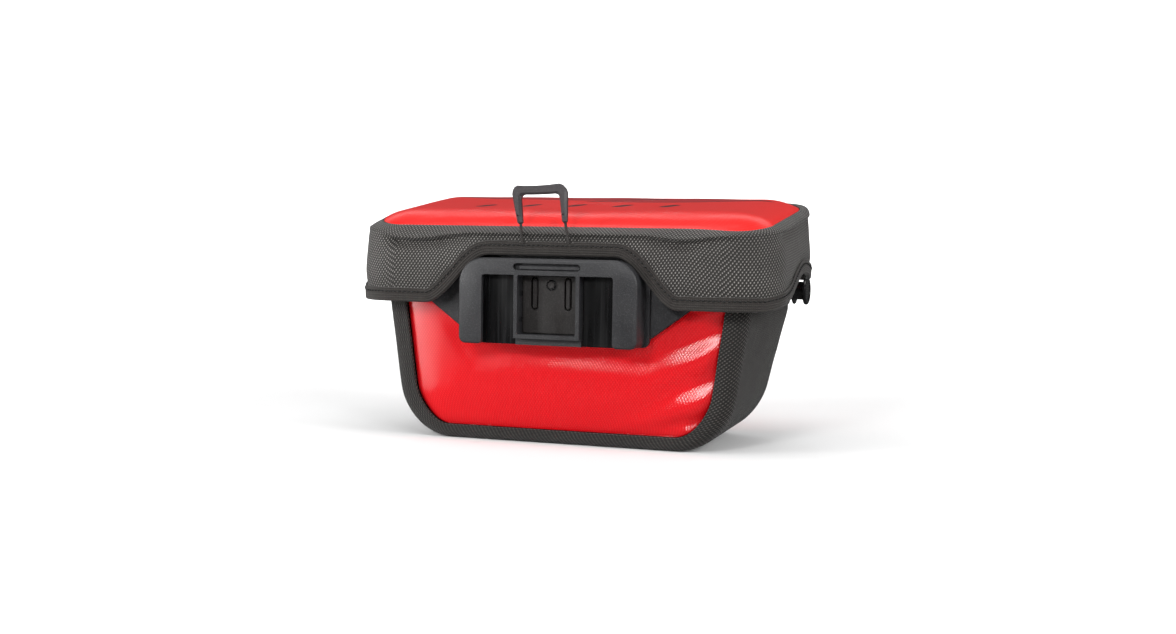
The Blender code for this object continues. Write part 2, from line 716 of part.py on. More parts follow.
def make_studs(material, group):
    """The strap studs: a base on the cloth, an inner flange, a waist and a round head."""
    base_x = side_width(STUD_Z, STUD_Y) + SEAM_GAP
    head_foot = STUD_REACH - STUD_FLANGE_THICK
    waist_foot = head_foot - STUD_WAIST
    inner_foot = waist_foot - STUD_INNER_THICK
    profile = [
        (0.0, 0.0),
        (STUD_BASE, 0.0),
        (STUD_BASE, STUD_BASE_THICK),
        (STUD_BARREL, STUD_BASE_THICK),
        (STUD_BARREL, inner_foot),
        (STUD_INNER_FLANGE, inner_foot),
        (STUD_INNER_FLANGE, waist_foot),
        (STUD_BARREL, waist_foot),
        (STUD_BARREL, head_foot),
        (STUD_FLANGE - STUD_EDGE, head_foot),
        (STUD_FLANGE, head_foot + STUD_EDGE),
        (STUD_FLANGE, STUD_REACH - STUD_EDGE),
        (STUD_FLANGE - STUD_EDGE, STUD_REACH),
        (0.0, STUD_REACH),
    ]
    for side, name in ((-1, "strap_stud_left"), (1, "strap_stud_right")):
        place = (side * base_x, STUD_Y, STUD_Z)
        turned(name, profile, place, Vector((side, 0.0, 0.0)), False, material, group)


def grip_plane():
    """The depth of the pull grip's middle: just clear of the skirt, over the tape's outer leg."""
    return LID_REAR - SKIRT_FLARE - SEAM_GAP - CORD_RADIUS


def make_pull_grip(material, group):
    """The moulded U that the lid is pulled open by."""
    top_x = GRIP_X + GRIP_SWAY
    inner_top = GRIP_TOP_Z - GRIP_BAR
    outer = []
    inner = []
    for side in (1, -1):
        foot_x = GRIP_X + side * GRIP_FOOT_HALF
        edge_x = top_x + side * GRIP_TOP_HALF
        outer.append([
            (foot_x, GRIP_FOOT_Z),
            (edge_x, GRIP_TOP_Z - GRIP_CHAMFER),
            (edge_x - side * GRIP_CHAMFER, GRIP_TOP_Z),
        ])
        inner.append([
            (foot_x - side * GRIP_FOOT_WIDTH, GRIP_FOOT_Z),
            (edge_x - side * GRIP_BAR, inner_top - GRIP_INNER_CHAMFER),
            (edge_x - side * (GRIP_BAR + GRIP_INNER_CHAMFER), inner_top),
        ])
    outline = outer[0] + outer[1][::-1] + inner[1] + inner[0][::-1]
    back = grip_plane() + GRIP_THICK / 2
    piece = extruded("pull_grip", outline, back, back - GRIP_THICK, material, group)
    add_bevel(piece, GRIP_EDGE)
    return piece


def make_pull_cords(material, group):
    """Two short cords, sewn in under the hem tape and moulded into the grip's legs."""
    low = HEM_Z + NOTCH_RISE + TAPE_HEIGHT + SEAM_GAP
    high = GRIP_FOOT_Z - SEAM_GAP
    y = grip_plane()
    for side, name in ((-1, "pull_cord_left"), (1, "pull_cord_right")):
        x = GRIP_X + side * (GRIP_FOOT_HALF - GRIP_FOOT_WIDTH / 2)
        curve = bpy.data.curves.new(name, "CURVE")
        curve.dimensions = "3D"
        curve.bevel_depth = CORD_RADIUS
        curve.bevel_resolution = 2
        curve.use_fill_caps = True
        spline = curve.splines.new("POLY")
        spline.points.add(3)
        for point, share in zip(spline.points, steps(3)):
            point.co = (x, y, low + share * (high - low), 1.0)
        curve.materials.append(material)
        cord = bpy.data.objects.new(name, curve)
        group.objects.link(cord)


def main():
    clear_scene()
    bag = make_collection("handlebar_bag")
    cutters = make_collection("cutters")
    red_cloth = make_material("red coated cloth", (0.72, 0.012, 0.016), 0.32)
    lid_red = make_material("red lid sheet", (0.80, 0.030, 0.026), 0.22)
    grey_cloth = make_material("grey woven cloth", (0.075, 0.072, 0.070), 0.70)
    tape = make_material("hem tape", (0.036, 0.032, 0.030), 0.80)
    black_plastic = make_material("black moulded plastic", (0.045, 0.045, 0.046), 0.50)
    gloss_plastic = make_material("glossy black plastic", (0.012, 0.012, 0.013), 0.20)
    grip_plastic = make_material("grey grip plastic", (0.085, 0.075, 0.078), 0.45)
    cord = make_material("black cord", (0.030, 0.028, 0.028), 0.75)

    make_gusset(grey_cloth, bag)
    make_end_panel("rear_panel", REAR_LEAN, REAR_RADIUS, REAR_Y, -1, red_cloth, bag)
    make_end_panel("front_panel", FRONT_LEAN, FRONT_RADIUS, FRONT_Y, 1, red_cloth, bag)
    make_lid_shell(grey_cloth, bag)
    make_lid_binding(tape, bag)
    make_lid_panel(lid_red, bag)
    make_mount_plate(black_plastic, bag)
    make_mount_frame(black_plastic, bag, cutters)
    make_guide_pads(gloss_plastic, bag)
    make_lock_plate(black_plastic, bag, cutters)
    make_release_bar(gloss_plastic, bag)
    make_studs(gloss_plastic, bag)
    make_pull_grip(grip_plastic, bag)
    make_pull_cords(cord, bag)


main()
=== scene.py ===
"""The looks of a bicycle handlebar bag: woven cloth, coated red panels, hem tape, moulded adapter and studs.

Every place and size is in metres in the frame's own axes: +Z up, the adapter towards -Y, the lid along X.
The bag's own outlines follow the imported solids, whose boxes give the driving sizes below.
"""

import math

import bmesh
import bpy
from bpy.props import FloatProperty, FloatVectorProperty, IntProperty, PointerProperty
from mathutils import Matrix, Vector, noise


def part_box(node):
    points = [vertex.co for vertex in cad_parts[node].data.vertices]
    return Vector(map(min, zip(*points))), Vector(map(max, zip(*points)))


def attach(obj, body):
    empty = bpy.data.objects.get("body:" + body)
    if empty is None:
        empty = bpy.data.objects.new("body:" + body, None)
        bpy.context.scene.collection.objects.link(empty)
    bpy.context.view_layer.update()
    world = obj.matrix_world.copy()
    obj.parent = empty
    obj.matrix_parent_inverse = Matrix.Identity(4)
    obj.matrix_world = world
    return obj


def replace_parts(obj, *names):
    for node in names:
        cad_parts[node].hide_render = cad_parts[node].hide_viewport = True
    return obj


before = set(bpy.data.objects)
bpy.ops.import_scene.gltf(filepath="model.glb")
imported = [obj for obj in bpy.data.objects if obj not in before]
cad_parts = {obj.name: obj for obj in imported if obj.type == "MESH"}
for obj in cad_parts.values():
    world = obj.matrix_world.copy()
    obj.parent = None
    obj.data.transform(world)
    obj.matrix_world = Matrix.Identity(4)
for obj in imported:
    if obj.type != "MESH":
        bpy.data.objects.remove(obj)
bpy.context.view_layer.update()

bl_info = {
    "name": "Handlebar Bag",
    "version": (1, 0, 0),
    "blender": (4, 5, 0),
    "location": "3D View > Sidebar > Handlebar Bag",
    "description": "Dresses a bicycle handlebar bag in cloth, coated panels, tape, stitches and moulded plastic",
    "category": "Object",
}

MM = 0.001

# Boxes of the solids that the pieces stand for
GUSSET_LOW, GUSSET_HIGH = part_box("body_gusset")
SHELL_LOW, SHELL_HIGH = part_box("lid_shell")
PLATE_LOW, PLATE_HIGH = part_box("mount_plate")
FRAME_LOW, FRAME_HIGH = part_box("mount_frame")
PAD_LOW, PAD_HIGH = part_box("guide_pad_right")
RING_LOW, RING_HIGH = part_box("lock_ring")
GRIP_LOW, GRIP_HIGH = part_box("pull_grip")
STUD_LOW, STUD_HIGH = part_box("strap_stud_right")

# Cloth and clearances
CLOTH = 2.0 * MM
LID_CLOTH = 1.4 * MM
LID_BOARD = 2.0 * MM
SEAM_GAP = 0.3 * MM
RIM_GAP = 0.3 * MM
REST_GAP = 0.7 * MM

# Body
REAR_Y = GUSSET_LOW.y
FRONT_Y = GUSSET_HIGH.y
BODY_DEPTH = FRONT_Y - REAR_Y
SIDE_BULGE = 8 * MM
BODY_HALF = GUSSET_HIGH.x - SIDE_BULGE
SHOULDER_Z = 79 * MM
REAR_LEAN = 0.140
FRONT_LEAN = 0.180
REAR_RADIUS = 34.6 * MM
FRONT_RADIUS = 40 * MM
EDGE_RADIUS = 8 * MM
EDGE_RADIUS_BELOW = 5 * MM
BORDER = 12.3 * MM
BORDER_BELOW = 7.8 * MM
BULGE_START_Z = 12 * MM
STUD_Y_SHARE = 0.63
PANEL_RECESS = 0.5 * MM

# Lid
SKIRT_FLARE = 1.5 * MM
LID_HALF = SHELL_HIGH.x - SKIRT_FLARE
LID_REAR = SHELL_LOW.y + SKIRT_FLARE
LID_FRONT = SHELL_HIGH.y - SKIRT_FLARE
LID_CORNER = 28 * MM
RIDGE_Z = 120 * MM
LID_SLOPE = 0.13
RIM_WIDTH = 8 * MM
RIM_NARROWS = 0.35
RIM_RISE = 5 * MM
RIM_RISE_REAR = 2.8 * MM
RIM_PUFF = 0.7 * MM
CROWN = 5 * MM
CROWN_RUN = 28 * MM
RIDGE_DIPS = ((-85 * MM, 38 * MM, 3.4 * MM), (75 * MM, 24 * MM, 2.0 * MM))
RIDGE_LIP = 1.2 * MM
RIDGE_LIP_WIDTH = 1.1 * MM
RIDGE_CREASE = 1.0 * MM
DIP_CREASE = 1.1
DIP_CREASE_MOST = 2.6 * MM
SIDE_CREASE = 1.0 * MM
CREASE_START = 0.5 * MM
CREASE_FALL = 1.7 * MM
CREASE_RUN = 7 * MM
HEM_CREASE = 0.35 * MM
HEM_CREASE_WIDTH = 1.8 * MM
SKIRT_DENT_WAVE = 30 * MM
FAR_LIFT = 4.5 * MM
FAR_LIFT_START = 28 * MM
FAR_LIFT_RUN = 26 * MM

# Hem tape
HEM_Z = 79.5 * MM
HEM_LEVEL = 12 * MM
TAPE_HEIGHT = 8 * MM
TAPE_WALL = 0.6 * MM
TAPE_GAP = 0.15 * MM
STITCH_DROP = 2.3 * MM
STITCH_GROOVE = 0.3 * MM
STITCH_STAND = 0.5 * MM
NOTCH_RISE = 28 * MM
NOTCH_FLAT = 38 * MM
NOTCH_FOOT = 77 * MM
NOTCH_FOOT_RIGHT = 73 * MM
ARCH_RISE = 9.9 * MM
ARCH_HALF = 40 * MM
STUD_Y = (STUD_LOW.y + STUD_HIGH.y) / 2
STUD_Z = (STUD_LOW.z + STUD_HIGH.z) / 2
STUD_LIFT = 1.1 * MM

# Adapter
FLANGE_WIDTH = 2.6 * MM
FLANGE_THICK = 2.0 * MM
FRAME_HALF = FRAME_HIGH.x - FLANGE_WIDTH
FRAME_TOP_Z = FRAME_HIGH.z - FLANGE_WIDTH + 0.7 * MM
FRAME_FOOT_Z = FRAME_LOW.z
FRAME_FACE = FRAME_LOW.y
FRAME_BACK = FRAME_HIGH.y
FRAME_SHOULDER = 14.5 * MM
FRAME_CHAMFER = 4 * MM
FRAME_WALL = 2.2 * MM
RECESS_FLOOR = PAD_HIGH.y + SEAM_GAP
RECESS_TOP_Z = PAD_HIGH.z + SEAM_GAP
WINDOW_HALF = PAD_LOW.x - SEAM_GAP
LEG_INNER_HALF = PAD_HIGH.x + SEAM_GAP
SILL_Z = 61.5 * MM
SILL_STEP = 4 * MM
BAR_Z = 101.4 * MM
BAR_SLOT_HALF = 19.9 * MM
BAR_SLOT_WIDTH = 3.9 * MM
BAR_SLOT_DEPTH = 3 * MM
WINDOW_FLOOR = -54 * MM
LATCH_FACE = -56.5 * MM
UNDERCUT = 1.7 * MM
LIP_THICK = 2.4 * MM
FOOT_ROUND = 2.5 * MM
RECESS_ROUND = 1.6 * MM
PLATE_FOOT_HALF = 58 * MM
PLATE_FOOT_Z = 64.5 * MM
PLATE_SIDE_Z = 83.5 * MM
LATCH_SLOT_X = 9.97 * MM
LATCH_SLOT_WIDTH = 4.3 * MM
LATCH_SLOT_LOW = 77.2 * MM
LATCH_SLOT_HIGH = 95.6 * MM
CUT_PAST = 2 * MM

# Seams, puckers and the tape's fold
WING_CLEAR_Z = FRAME_FOOT_Z - 3 * MM
PUCKER_Z = 57 * MM
PUCKER_WAVE = 26 * MM
PUCKER_SLANT = 0.5
SEAM_TUCK = 2.8 * MM
TUCK_RUN = 10 * MM
PANEL_FILL = 2.4 * MM
FOLD_HEIGHT = 0.6 * MM

# Edges of the moulded frame, and the middles of the notches in its window
NOTCH_HEIGHTS = (0.0862, 0.0716)
FRAME_CHAMFER_EDGE = 0.35 * MM
RIM_FACET = 0.8 * MM
RIM_FACET_FALL = 0.52 * MM

# The lid's plain print: middle x and y, half length, half width, slant, and width of the edge line
LID_BANDS = (
    (-35 * MM, 34 * MM, 78 * MM, 13 * MM, -0.05, 1.6 * MM),
    (50 * MM, 22 * MM, 58 * MM, 9 * MM, 0.12, 1.6 * MM),
)
DASH_HALF = 5.5 * MM
DASH_WIDTH = 5 * MM
DASH_SLANT = 0.9
DASH_PLACES = [((-59.5 + 28 * index) * MM, (-11 + 1.5 * index) * MM) for index in range(5)]

# Pull grip: it leans to the left of its cords' feet, and its bar climbs to the right
GRIP_OUTER = ((-19.4, 124.6), (-23.3, 142.8), (-21.2, 146.6), (-15.0, 146.35), (-8.1, 146.5), (-1.0, 147.05),
              (5.9, 147.9), (9.8, 144.0), (9.9, 125.7))
GRIP_INNER = ((7.1, 125.6), (5.3, 140.9), (3.9, 142.2), (-2.0, 141.75), (-8.0, 141.45), (-16.7, 141.3),
              (-17.7, 140.1), (-16.5, 124.8))
GRIP_HOLES = ((-19.0, 129.7), (7.9, 130.7))
GRIP_HOLE = 0.55 * MM
GRIP_Y = (GRIP_LOW.y + GRIP_HIGH.y) / 2
CORD_RADIUS = 0.8 * MM
CORD_BOW = 0.35 * MM
CORD_PINCH = 0.9 * MM
CORD_ENDS = (((-17.9, 125.6), (-16.6, 114.4)), ((8.6, 126.6), (10.9, 114.8)))
CORD_X = tuple(foot[0] * MM for top, foot in CORD_ENDS)

# The camera, fitted to the photo's edges
CAMERA_PLACE = Vector((0.2974, -0.8290, 0.1253))
CAMERA_BACK = Vector((0.3353, -0.9401, 0.0621))
CAMERA_ROLL = math.radians(0.81)
CAMERA_LENS = 45.5

# Stage: the sweep's section, and the soft lights with their place, width, height and power in watts
SWEEP_HALF = 3.5
SWEEP_FRONT = -0.6
SWEEP_TURN_Y = 1.6
SWEEP_RADIUS = 0.5
SWEEP_TOP = 0.85
SWEEP_GREY = (0.88, 0.88, 0.88)
ROOM_STRENGTH = 0.08
BAG_MIDDLE = (0.0, 0.0, 0.07)
LIGHTS = (
    ("overhead light", (0.0, -0.30, 1.30), BAG_MIDDLE, 1.2, 0.8, 8),
    ("front key light", (-0.10, -1.35, 0.68), BAG_MIDDLE, 0.30, 0.20, 8.5),
    ("left strip light", (-0.95, -0.80, 0.30), BAG_MIDDLE, 0.24, 0.6, 9),
    ("left side light", (-1.20, -0.30, 0.30), BAG_MIDDLE, 0.3, 0.6, 4),
    ("right strip light", (0.85, -1.00, 0.50), BAG_MIDDLE, 0.14, 0.6, 4),
    ("right side light", (1.20, -0.30, 0.60), BAG_MIDDLE, 0.3, 0.6, 9),
    ("backdrop light", (-0.6, 1.1, 1.3), (-0.6, 2.1, 0.1), 3.4, 0.4, 58),
)

# How finely the cloth is divided
CLOTH_STEP = 1.5 * MM


def smooth(share):
    share = min(max(share, 0.0), 1.0)
    return share * share * (3 - 2 * share)


def bump(distance, width):
    """A soft hill, 1 at its middle and near 0 past its width."""
    return math.exp(-((distance / width) ** 2))


def steps(count):
    return [index / count for index in range(count + 1)]


def linear(hex_colour):
    """An sRGB hex value as linear red, green and blue."""
    channels = [int(hex_colour[place : place + 2], 16) / 255 for place in (1, 3, 5)]
    return tuple(c / 12.92 if c <= 0.04045 else ((c + 0.055) / 1.055) ** 2.4 for c in channels)


def length(name, description, millimetres):
    """A size of the property groups."""
    return FloatProperty(name=name, description=description, default=millimetres * MM, unit="LENGTH")


def colour(name, description, hex_colour):
    """A colour of the property groups, given in sRGB."""
    return FloatVectorProperty(name=name, description=description, default=linear(hex_colour),
                               subtype="COLOR", min=0, max=1)


class BagSizes(bpy.types.PropertyGroup):
    """Sizes of the bag's fine detail."""

    weave_pitch: length("Weave pitch", "Distance between threads of the grey cloth", 2.1)
    weave_row: length("Weave row", "Distance between alike rows of the grey cloth", 2.8)
    mesh_pitch: length("Mesh pitch", "Distance between the threads that show through the red coating", 1.8)
    mesh_row: length("Mesh row", "Distance between alike rows under the red coating", 2.4)
    stitch_pitch: length("Stitch pitch", "Distance from one stitch of the hem to the next", 2.9)
    stitch_half: length("Stitch half length", "Half the length of a stitch", 0.95)
    thread_half: length("Thread half width", "Half the thickness of the sewing thread", 0.48)
    pucker: length("Pucker", "Height of the puckers in the rear panel", 1.4)
    dent: length("Dent", "Height of the soft dents in the grey cloth", 0.7)
    button_teeth: IntProperty(name="Button teeth", description="Teeth round the latch's button", default=14)


class BagColours(bpy.types.PropertyGroup):
    """Colours of the bag's finishes."""

    red: colour("Panel red", "Coated cloth of the two ends", "#C80D16")
    lid_red: colour("Lid red", "Coated sheet of the lid", "#DE2624")
    print_red: colour("Print red", "Dark bands printed on the lid", "#A02229")
    print_grey: colour("Print grey", "Edges and dashes printed on the lid", "#2E2628")
    cloth: colour("Cloth", "Ground of the grey woven cloth", "#242220")
    # Crowns paler than the ground: partly the weave's pattern, partly painted highlight.
    thread: colour("Thread", "Crowns of the grey cloth's threads", "#8E8A86")
    # The gusset's colours are the grey cloth made darker: painted shade on the sides, bottom and borders.
    gusset: colour("Gusset cloth", "Ground of the grey cloth, darkened as painted shade on the sides and borders", "#171513")
    gusset_thread: colour("Gusset thread", "Crowns of the grey cloth's threads, darkened as painted shade on the sides and borders", "#5E5A56")
    tape: colour("Tape", "Hem tape", "#211E1C")
    plastic: colour("Plastic", "Moulded adapter", "#262628")
    latch: colour("Latch", "Smooth plate in the adapter's window", "#1E1B1A")
    gloss: colour("Gloss", "Polished and rubbed plastic", "#0C0C0D")
    stitch: colour("Stitches", "Sewing thread of the hem", "#060505")
    grip: colour("Grip", "Pull grip", "#322E30")


# Settings that many nodes share
EASED = {"interpolation_type": "SMOOTHSTEP"}
COLOURS = {"data_type": "RGBA"}


def set_inputs(tree, node, inputs):
    """Sets a node's inputs, by name or in order, or links them to a socket or to a node's first output."""
    for name, value in inputs.items() if isinstance(inputs, dict) else enumerate(inputs):
        if isinstance(value, bpy.types.Node):
            value = value.outputs[0]
        if isinstance(value, bpy.types.NodeSocket):
            tree.links.new(value, node.inputs[name])
        else:
            node.inputs[name].default_value = value


def add_node(tree, kind, inputs=(), **settings):
    """Adds a node with its settings and links."""
    made = tree.nodes.new(kind)
    for name, value in settings.items():
        setattr(made, name, value)
    set_inputs(tree, made, inputs)
    return made


def start_material(name, **fixed):
    """A new material: itself, its node tree and its shader, with the values that are the same all over."""
    made = bpy.data.materials.new(name)
    made.use_nodes = True
    shader = made.node_tree.nodes["Principled BSDF"]
    inputs = {key.replace("_", " ").title().replace("Ior", "IOR"): value for key, value in fixed.items()}
    set_inputs(made.node_tree, shader, inputs)
    return made, made.node_tree, shader


def finish_surface(tree, shader, share, first, second, roughness=None, reliefs=()):
    """Mixes two colours for the shader, and stacks reliefs of height, depth in metres and strength."""
    mixed = add_node(tree, "ShaderNodeMix", {0: share, 6: first, 7: second}, **COLOURS)
    linked = {"Base Color": mixed.outputs[2]}
    if roughness:
        linked["Roughness"] = roughness
    for height, depth, strength in reliefs:
        below = {"Normal": linked["Normal"]} if "Normal" in linked else {}
        inputs = {"Height": height, "Distance": depth, "Strength": strength, **below}
        linked["Normal"] = add_node(tree, "ShaderNodeBump", inputs)
    set_inputs(tree, shader, linked)


def toned(tint, factor=1.0, lift=0.0):
    """A colour made lighter or darker, with full opacity."""
    return (*(min(1.0, c * factor + lift) for c in tint), 1.0)


def lattice(tree, pitch, row, twill):
    """Woven crowns in staggered rows on the cloth's own UV map, from -1 to 1. Twill leans them one way."""
    place = add_node(tree, "ShaderNodeUVMap", uv_map="cloth")
    wobble = add_node(tree, "ShaderNodeTexNoise", {"Vector": place, "Scale": 90.0, "Detail": 1.0})
    moved = add_node(tree, "ShaderNodeVectorMath", (wobble.outputs["Color"], (0.5 * MM, 0.5 * MM, 0.0)),
                     operation="MULTIPLY")
    woven = add_node(tree, "ShaderNodeVectorMath", (place, moved), operation="ADD")
    split = add_node(tree, "ShaderNodeSeparateXYZ", (woven,))
    turns = [add_node(tree, "ShaderNodeMath", (split.outputs[axis], 2 * math.pi / spacing), operation="MULTIPLY")
             for axis, spacing in enumerate((pitch, row))]
    parts = []
    for operation, weight in (("ADD", 0.5 + twill), ("SUBTRACT", twill - 0.5)):
        phase = add_node(tree, "ShaderNodeMath", turns, operation=operation)
        wave = add_node(tree, "ShaderNodeMath", (phase,), operation="COSINE")
        parts.append(add_node(tree, "ShaderNodeMath", (wave, weight), operation="MULTIPLY"))
    return add_node(tree, "ShaderNodeMath", parts, operation="ADD")


def mottle(tree, scale, detail=3.0, stretch=(1.0, 1.0, 1.0)):
    """Soft noise on object coordinates, one blotch being about one over its scale in metres."""
    place = add_node(tree, "ShaderNodeTexCoord")
    drawn = add_node(tree, "ShaderNodeMapping", {"Vector": place.outputs["Object"], "Scale": stretch})
    return add_node(tree, "ShaderNodeTexNoise", {"Vector": drawn, "Scale": scale, "Detail": detail})


def woven_nylon(name, ground, crown, sizes, finer=1.0, crowns=0.9):
    """Thick textured nylon in a basket weave: dull, with crowns that catch the light as rows of pale dots. The
    crowns are painted paler than the ground: partly the weave's pattern, partly painted highlight.

    The photo's crowns are a little under 2 mm apart. They are drawn slightly coarser, so that they show.
    """
    made, tree, shader = start_material(name, sheen_weight=0.1, sheen_roughness=0.5, specular_ior_level=0.3)
    height = lattice(tree, sizes.weave_pitch * finer, sizes.weave_row * finer, 0.12)
    dots = add_node(tree, "ShaderNodeMapRange", (height, 0.3, 1.0, 0.0, crowns), **EASED)
    blotch = add_node(tree, "ShaderNodeMapRange", (mottle(tree, 45.0), 0.3, 0.7, 0.75, 1.1), **EASED)
    share = add_node(tree, "ShaderNodeMath", (dots, blotch), operation="MULTIPLY", use_clamp=True)
    rough = add_node(tree, "ShaderNodeMapRange", (height, -0.6, 0.9, 0.75, 0.42), **EASED)
    # Crowns mixed towards the paler colour: partly the weave's pattern, partly painted highlight.
    finish_surface(tree, shader, share, toned(ground), toned(crown), rough,
                   ((mottle(tree, 160.0), 0.25 * MM, 0.5), (height, 0.16 * MM, 1.0)))
    return made


def coated_cloth(name, tint, sizes):
    """Polyester mesh under a glossy plasticised coating: the threads show as small hills that glint in a row, and
    their tops are painted paler as painted glint.
    """
    made, tree, shader = start_material(name, roughness=0.13, specular_ior_level=0.5, coat_weight=0.35,
                                        coat_roughness=0.2)
    height = lattice(tree, sizes.mesh_pitch, sizes.mesh_row, 0.0)
    tone = add_node(tree, "ShaderNodeMapRange", (height, -0.2, 1.0, 0.0, 0.6), **EASED)
    shade = add_node(tree, "ShaderNodeMapRange", (mottle(tree, 14.0), 0.3, 0.7, 0.0, 0.25), **EASED)
    ground = add_node(tree, "ShaderNodeMix", {0: shade, 6: toned(tint), 7: toned(tint, 0.8)}, **COLOURS)
    # The hills' tops are painted paler than the ground: painted glint, besides the glint of the bump itself.
    finish_surface(tree, shader, tone, ground.outputs[2], toned(tint, 1.25, 0.012), None,
                   ((mottle(tree, 70.0, 2.0), 0.5 * MM, 0.25), (height, 0.05 * MM, 1.0)))
    return made


def band_mask(tree, x, y, band):
    """1 inside a slanted band on the lid that tapers to both ends, and 1 on its edge line: two nodes."""
    middle_x, middle_y, half_length, half_width, slant, line = band
    made = {"x": x, "y": y}
    for result, operation, *terms in (
        ("from x", "SUBTRACT", "x", middle_x),
        ("along", "DIVIDE", "from x", half_length),
        ("square", "MULTIPLY", "along", "along"),
        ("taper", "SUBTRACT", 1.0, "square"),
        ("width", "MULTIPLY", "taper", half_width),
        ("drop", "MULTIPLY", "from x", slant),
        ("centre", "ADD", "drop", middle_y),
        ("from y", "SUBTRACT", "y", "centre"),
        ("away", "ABSOLUTE", "from y"),
        ("inside", "SUBTRACT", "width", "away"),
    ):
        made[result] = add_node(tree, "ShaderNodeMath", [made.get(term, term) for term in terms],
                                operation=operation)
    filled, past_line = [add_node(tree, "ShaderNodeMapRange", (made["inside"], start, start + 0.4 * MM), **EASED)
                         for start in (0.0, line)]
    edge = add_node(tree, "ShaderNodeMath", (filled, past_line), operation="SUBTRACT", use_clamp=True)
    return filled, edge


def lid_sheet(name, colours, sizes):
    """Plasticised polyester sheet on a stiff board: wet gloss, faint mesh, and a plain printed pattern."""
    made, tree, shader = start_material(name, roughness=0.28, specular_ior_level=0.35)
    place = add_node(tree, "ShaderNodeTexCoord")
    split = add_node(tree, "ShaderNodeSeparateXYZ", (place.outputs["Object"],))
    shade = add_node(tree, "ShaderNodeMapRange", (mottle(tree, 12.0), 0.3, 0.7, 0.0, 0.2), **EASED)
    red = colours.lid_red
    mixed = add_node(tree, "ShaderNodeMix", {0: shade, 6: toned(red), 7: toned(red, 0.8)}, **COLOURS)
    layers = []
    for band in LID_BANDS:
        filled, edge = band_mask(tree, split.outputs[0], split.outputs[1], band)
        share = add_node(tree, "ShaderNodeMath", (filled, 0.85), operation="MULTIPLY")
        layers += [(share, colours.print_red), (edge, colours.print_grey)]
    for middle in DASH_PLACES:
        dash = (*middle, DASH_HALF, DASH_WIDTH, DASH_SLANT, 1.0)
        layers.append((band_mask(tree, split.outputs[0], split.outputs[1], dash)[0], colours.print_grey))
    for share, tint in layers[:-1]:
        mixed = add_node(tree, "ShaderNodeMix", {0: share, 6: mixed.outputs[2], 7: toned(tint)}, **COLOURS)
    share, tint = layers[-1]
    height = lattice(tree, sizes.mesh_pitch, sizes.mesh_row, 0.0)
    finish_surface(tree, shader, share, mixed.outputs[2], toned(tint), None,
                   ((mottle(tree, 30.0, 1.0), 0.5 * MM, 0.2), (height, 0.02 * MM, 1.0)))
    return made


def ribbed_tape(name, tint):
    """Woven polyester tape: lengthwise ribs 1.35 mm apart crossed by fine threads, dull and nearly black."""
    made, tree, shader = start_material(name, roughness=0.75, sheen_weight=0.1, sheen_roughness=0.6,
                                        specular_ior_level=0.2)
    place = add_node(tree, "ShaderNodeUVMap", uv_map="cloth")
    split = add_node(tree, "ShaderNodeSeparateXYZ", (place,))
    waves = []
    for socket, pitch in ((split.outputs[1], 1.35 * MM), (split.outputs[0], 1.1 * MM)):
        phase = add_node(tree, "ShaderNodeMath", (socket, 2 * math.pi / pitch), operation="MULTIPLY")
        waves.append(add_node(tree, "ShaderNodeMath", (phase,), operation="SINE"))
    cross = add_node(tree, "ShaderNodeMath", waves, operation="MULTIPLY")
    half = add_node(tree, "ShaderNodeMath", (cross, 0.35), operation="MULTIPLY")
    height = add_node(tree, "ShaderNodeMath", (half, waves[0]), operation="ADD")
    tone = add_node(tree, "ShaderNodeMapRange", (height, 0.2, 1.4, 0.0, 0.6), **EASED)
    fuzz = add_node(tree, "ShaderNodeMapRange", (mottle(tree, 400.0), 0.35, 0.75, 0.0, 0.35), **EASED)
    ground = add_node(tree, "ShaderNodeMix", {0: fuzz, 6: toned(tint), 7: toned(tint, 2.2)}, **COLOURS)
    finish_surface(tree, shader, tone, ground.outputs[2], toned(tint, 4.0), None, ((height, 0.12 * MM, 1.0),))
    return made


def grained_plastic(name, tint, grain=0.35):
    """Glass-filled nylon moulded in a spark-eroded tool: a fine matte grain that breaks up the light."""
    made, tree, shader = start_material(name, specular_ior_level=0.4)
    speck = mottle(tree, 1500.0, 2.0)
    share = add_node(tree, "ShaderNodeMapRange", (speck, 0.45, 0.8, 0.0, 0.8), **EASED)
    rough = add_node(tree, "ShaderNodeMapRange", (mottle(tree, 60.0), 0.3, 0.7, 0.36, 0.54), **EASED)
    finish_surface(tree, shader, share, toned(tint), toned(tint, 1.9, 0.01), rough, ((speck, grain * MM, 0.35),))
    return made


def rubbed_plastic(name, tint):
    """The same nylon polished by a sliding holder: black, wet, with fine upright scratches."""
    made, tree, shader = start_material(name, specular_ior_level=0.3)
    streak = mottle(tree, 700.0, 3.0, (1.0, 1.0, 0.03))
    broad = mottle(tree, 120.0, 2.0, (1.0, 1.0, 0.12))
    share = add_node(tree, "ShaderNodeMapRange", (streak, 0.5, 0.8, 0.0, 0.6), **EASED)
    rough = add_node(tree, "ShaderNodeMapRange", (broad, 0.3, 0.7, 0.16, 0.42), **EASED)
    finish_surface(tree, shader, share, toned(tint), toned(tint, 4, 0.01), rough, ((streak, 0.1 * MM, 0.25),))
    return made


def gloss_plastic(name, tint):
    """Acetal moulded in a polished tool: black and bright, with faint flow marks."""
    made, tree, shader = start_material(name, specular_ior_level=0.5)
    flow = mottle(tree, 90.0, 2.0)
    rough = add_node(tree, "ShaderNodeMapRange", (flow, 0.3, 0.7, 0.12, 0.24), **EASED)
    finish_surface(tree, shader, flow, toned(tint), toned(tint, 1.6, 0.004), rough)
    return made


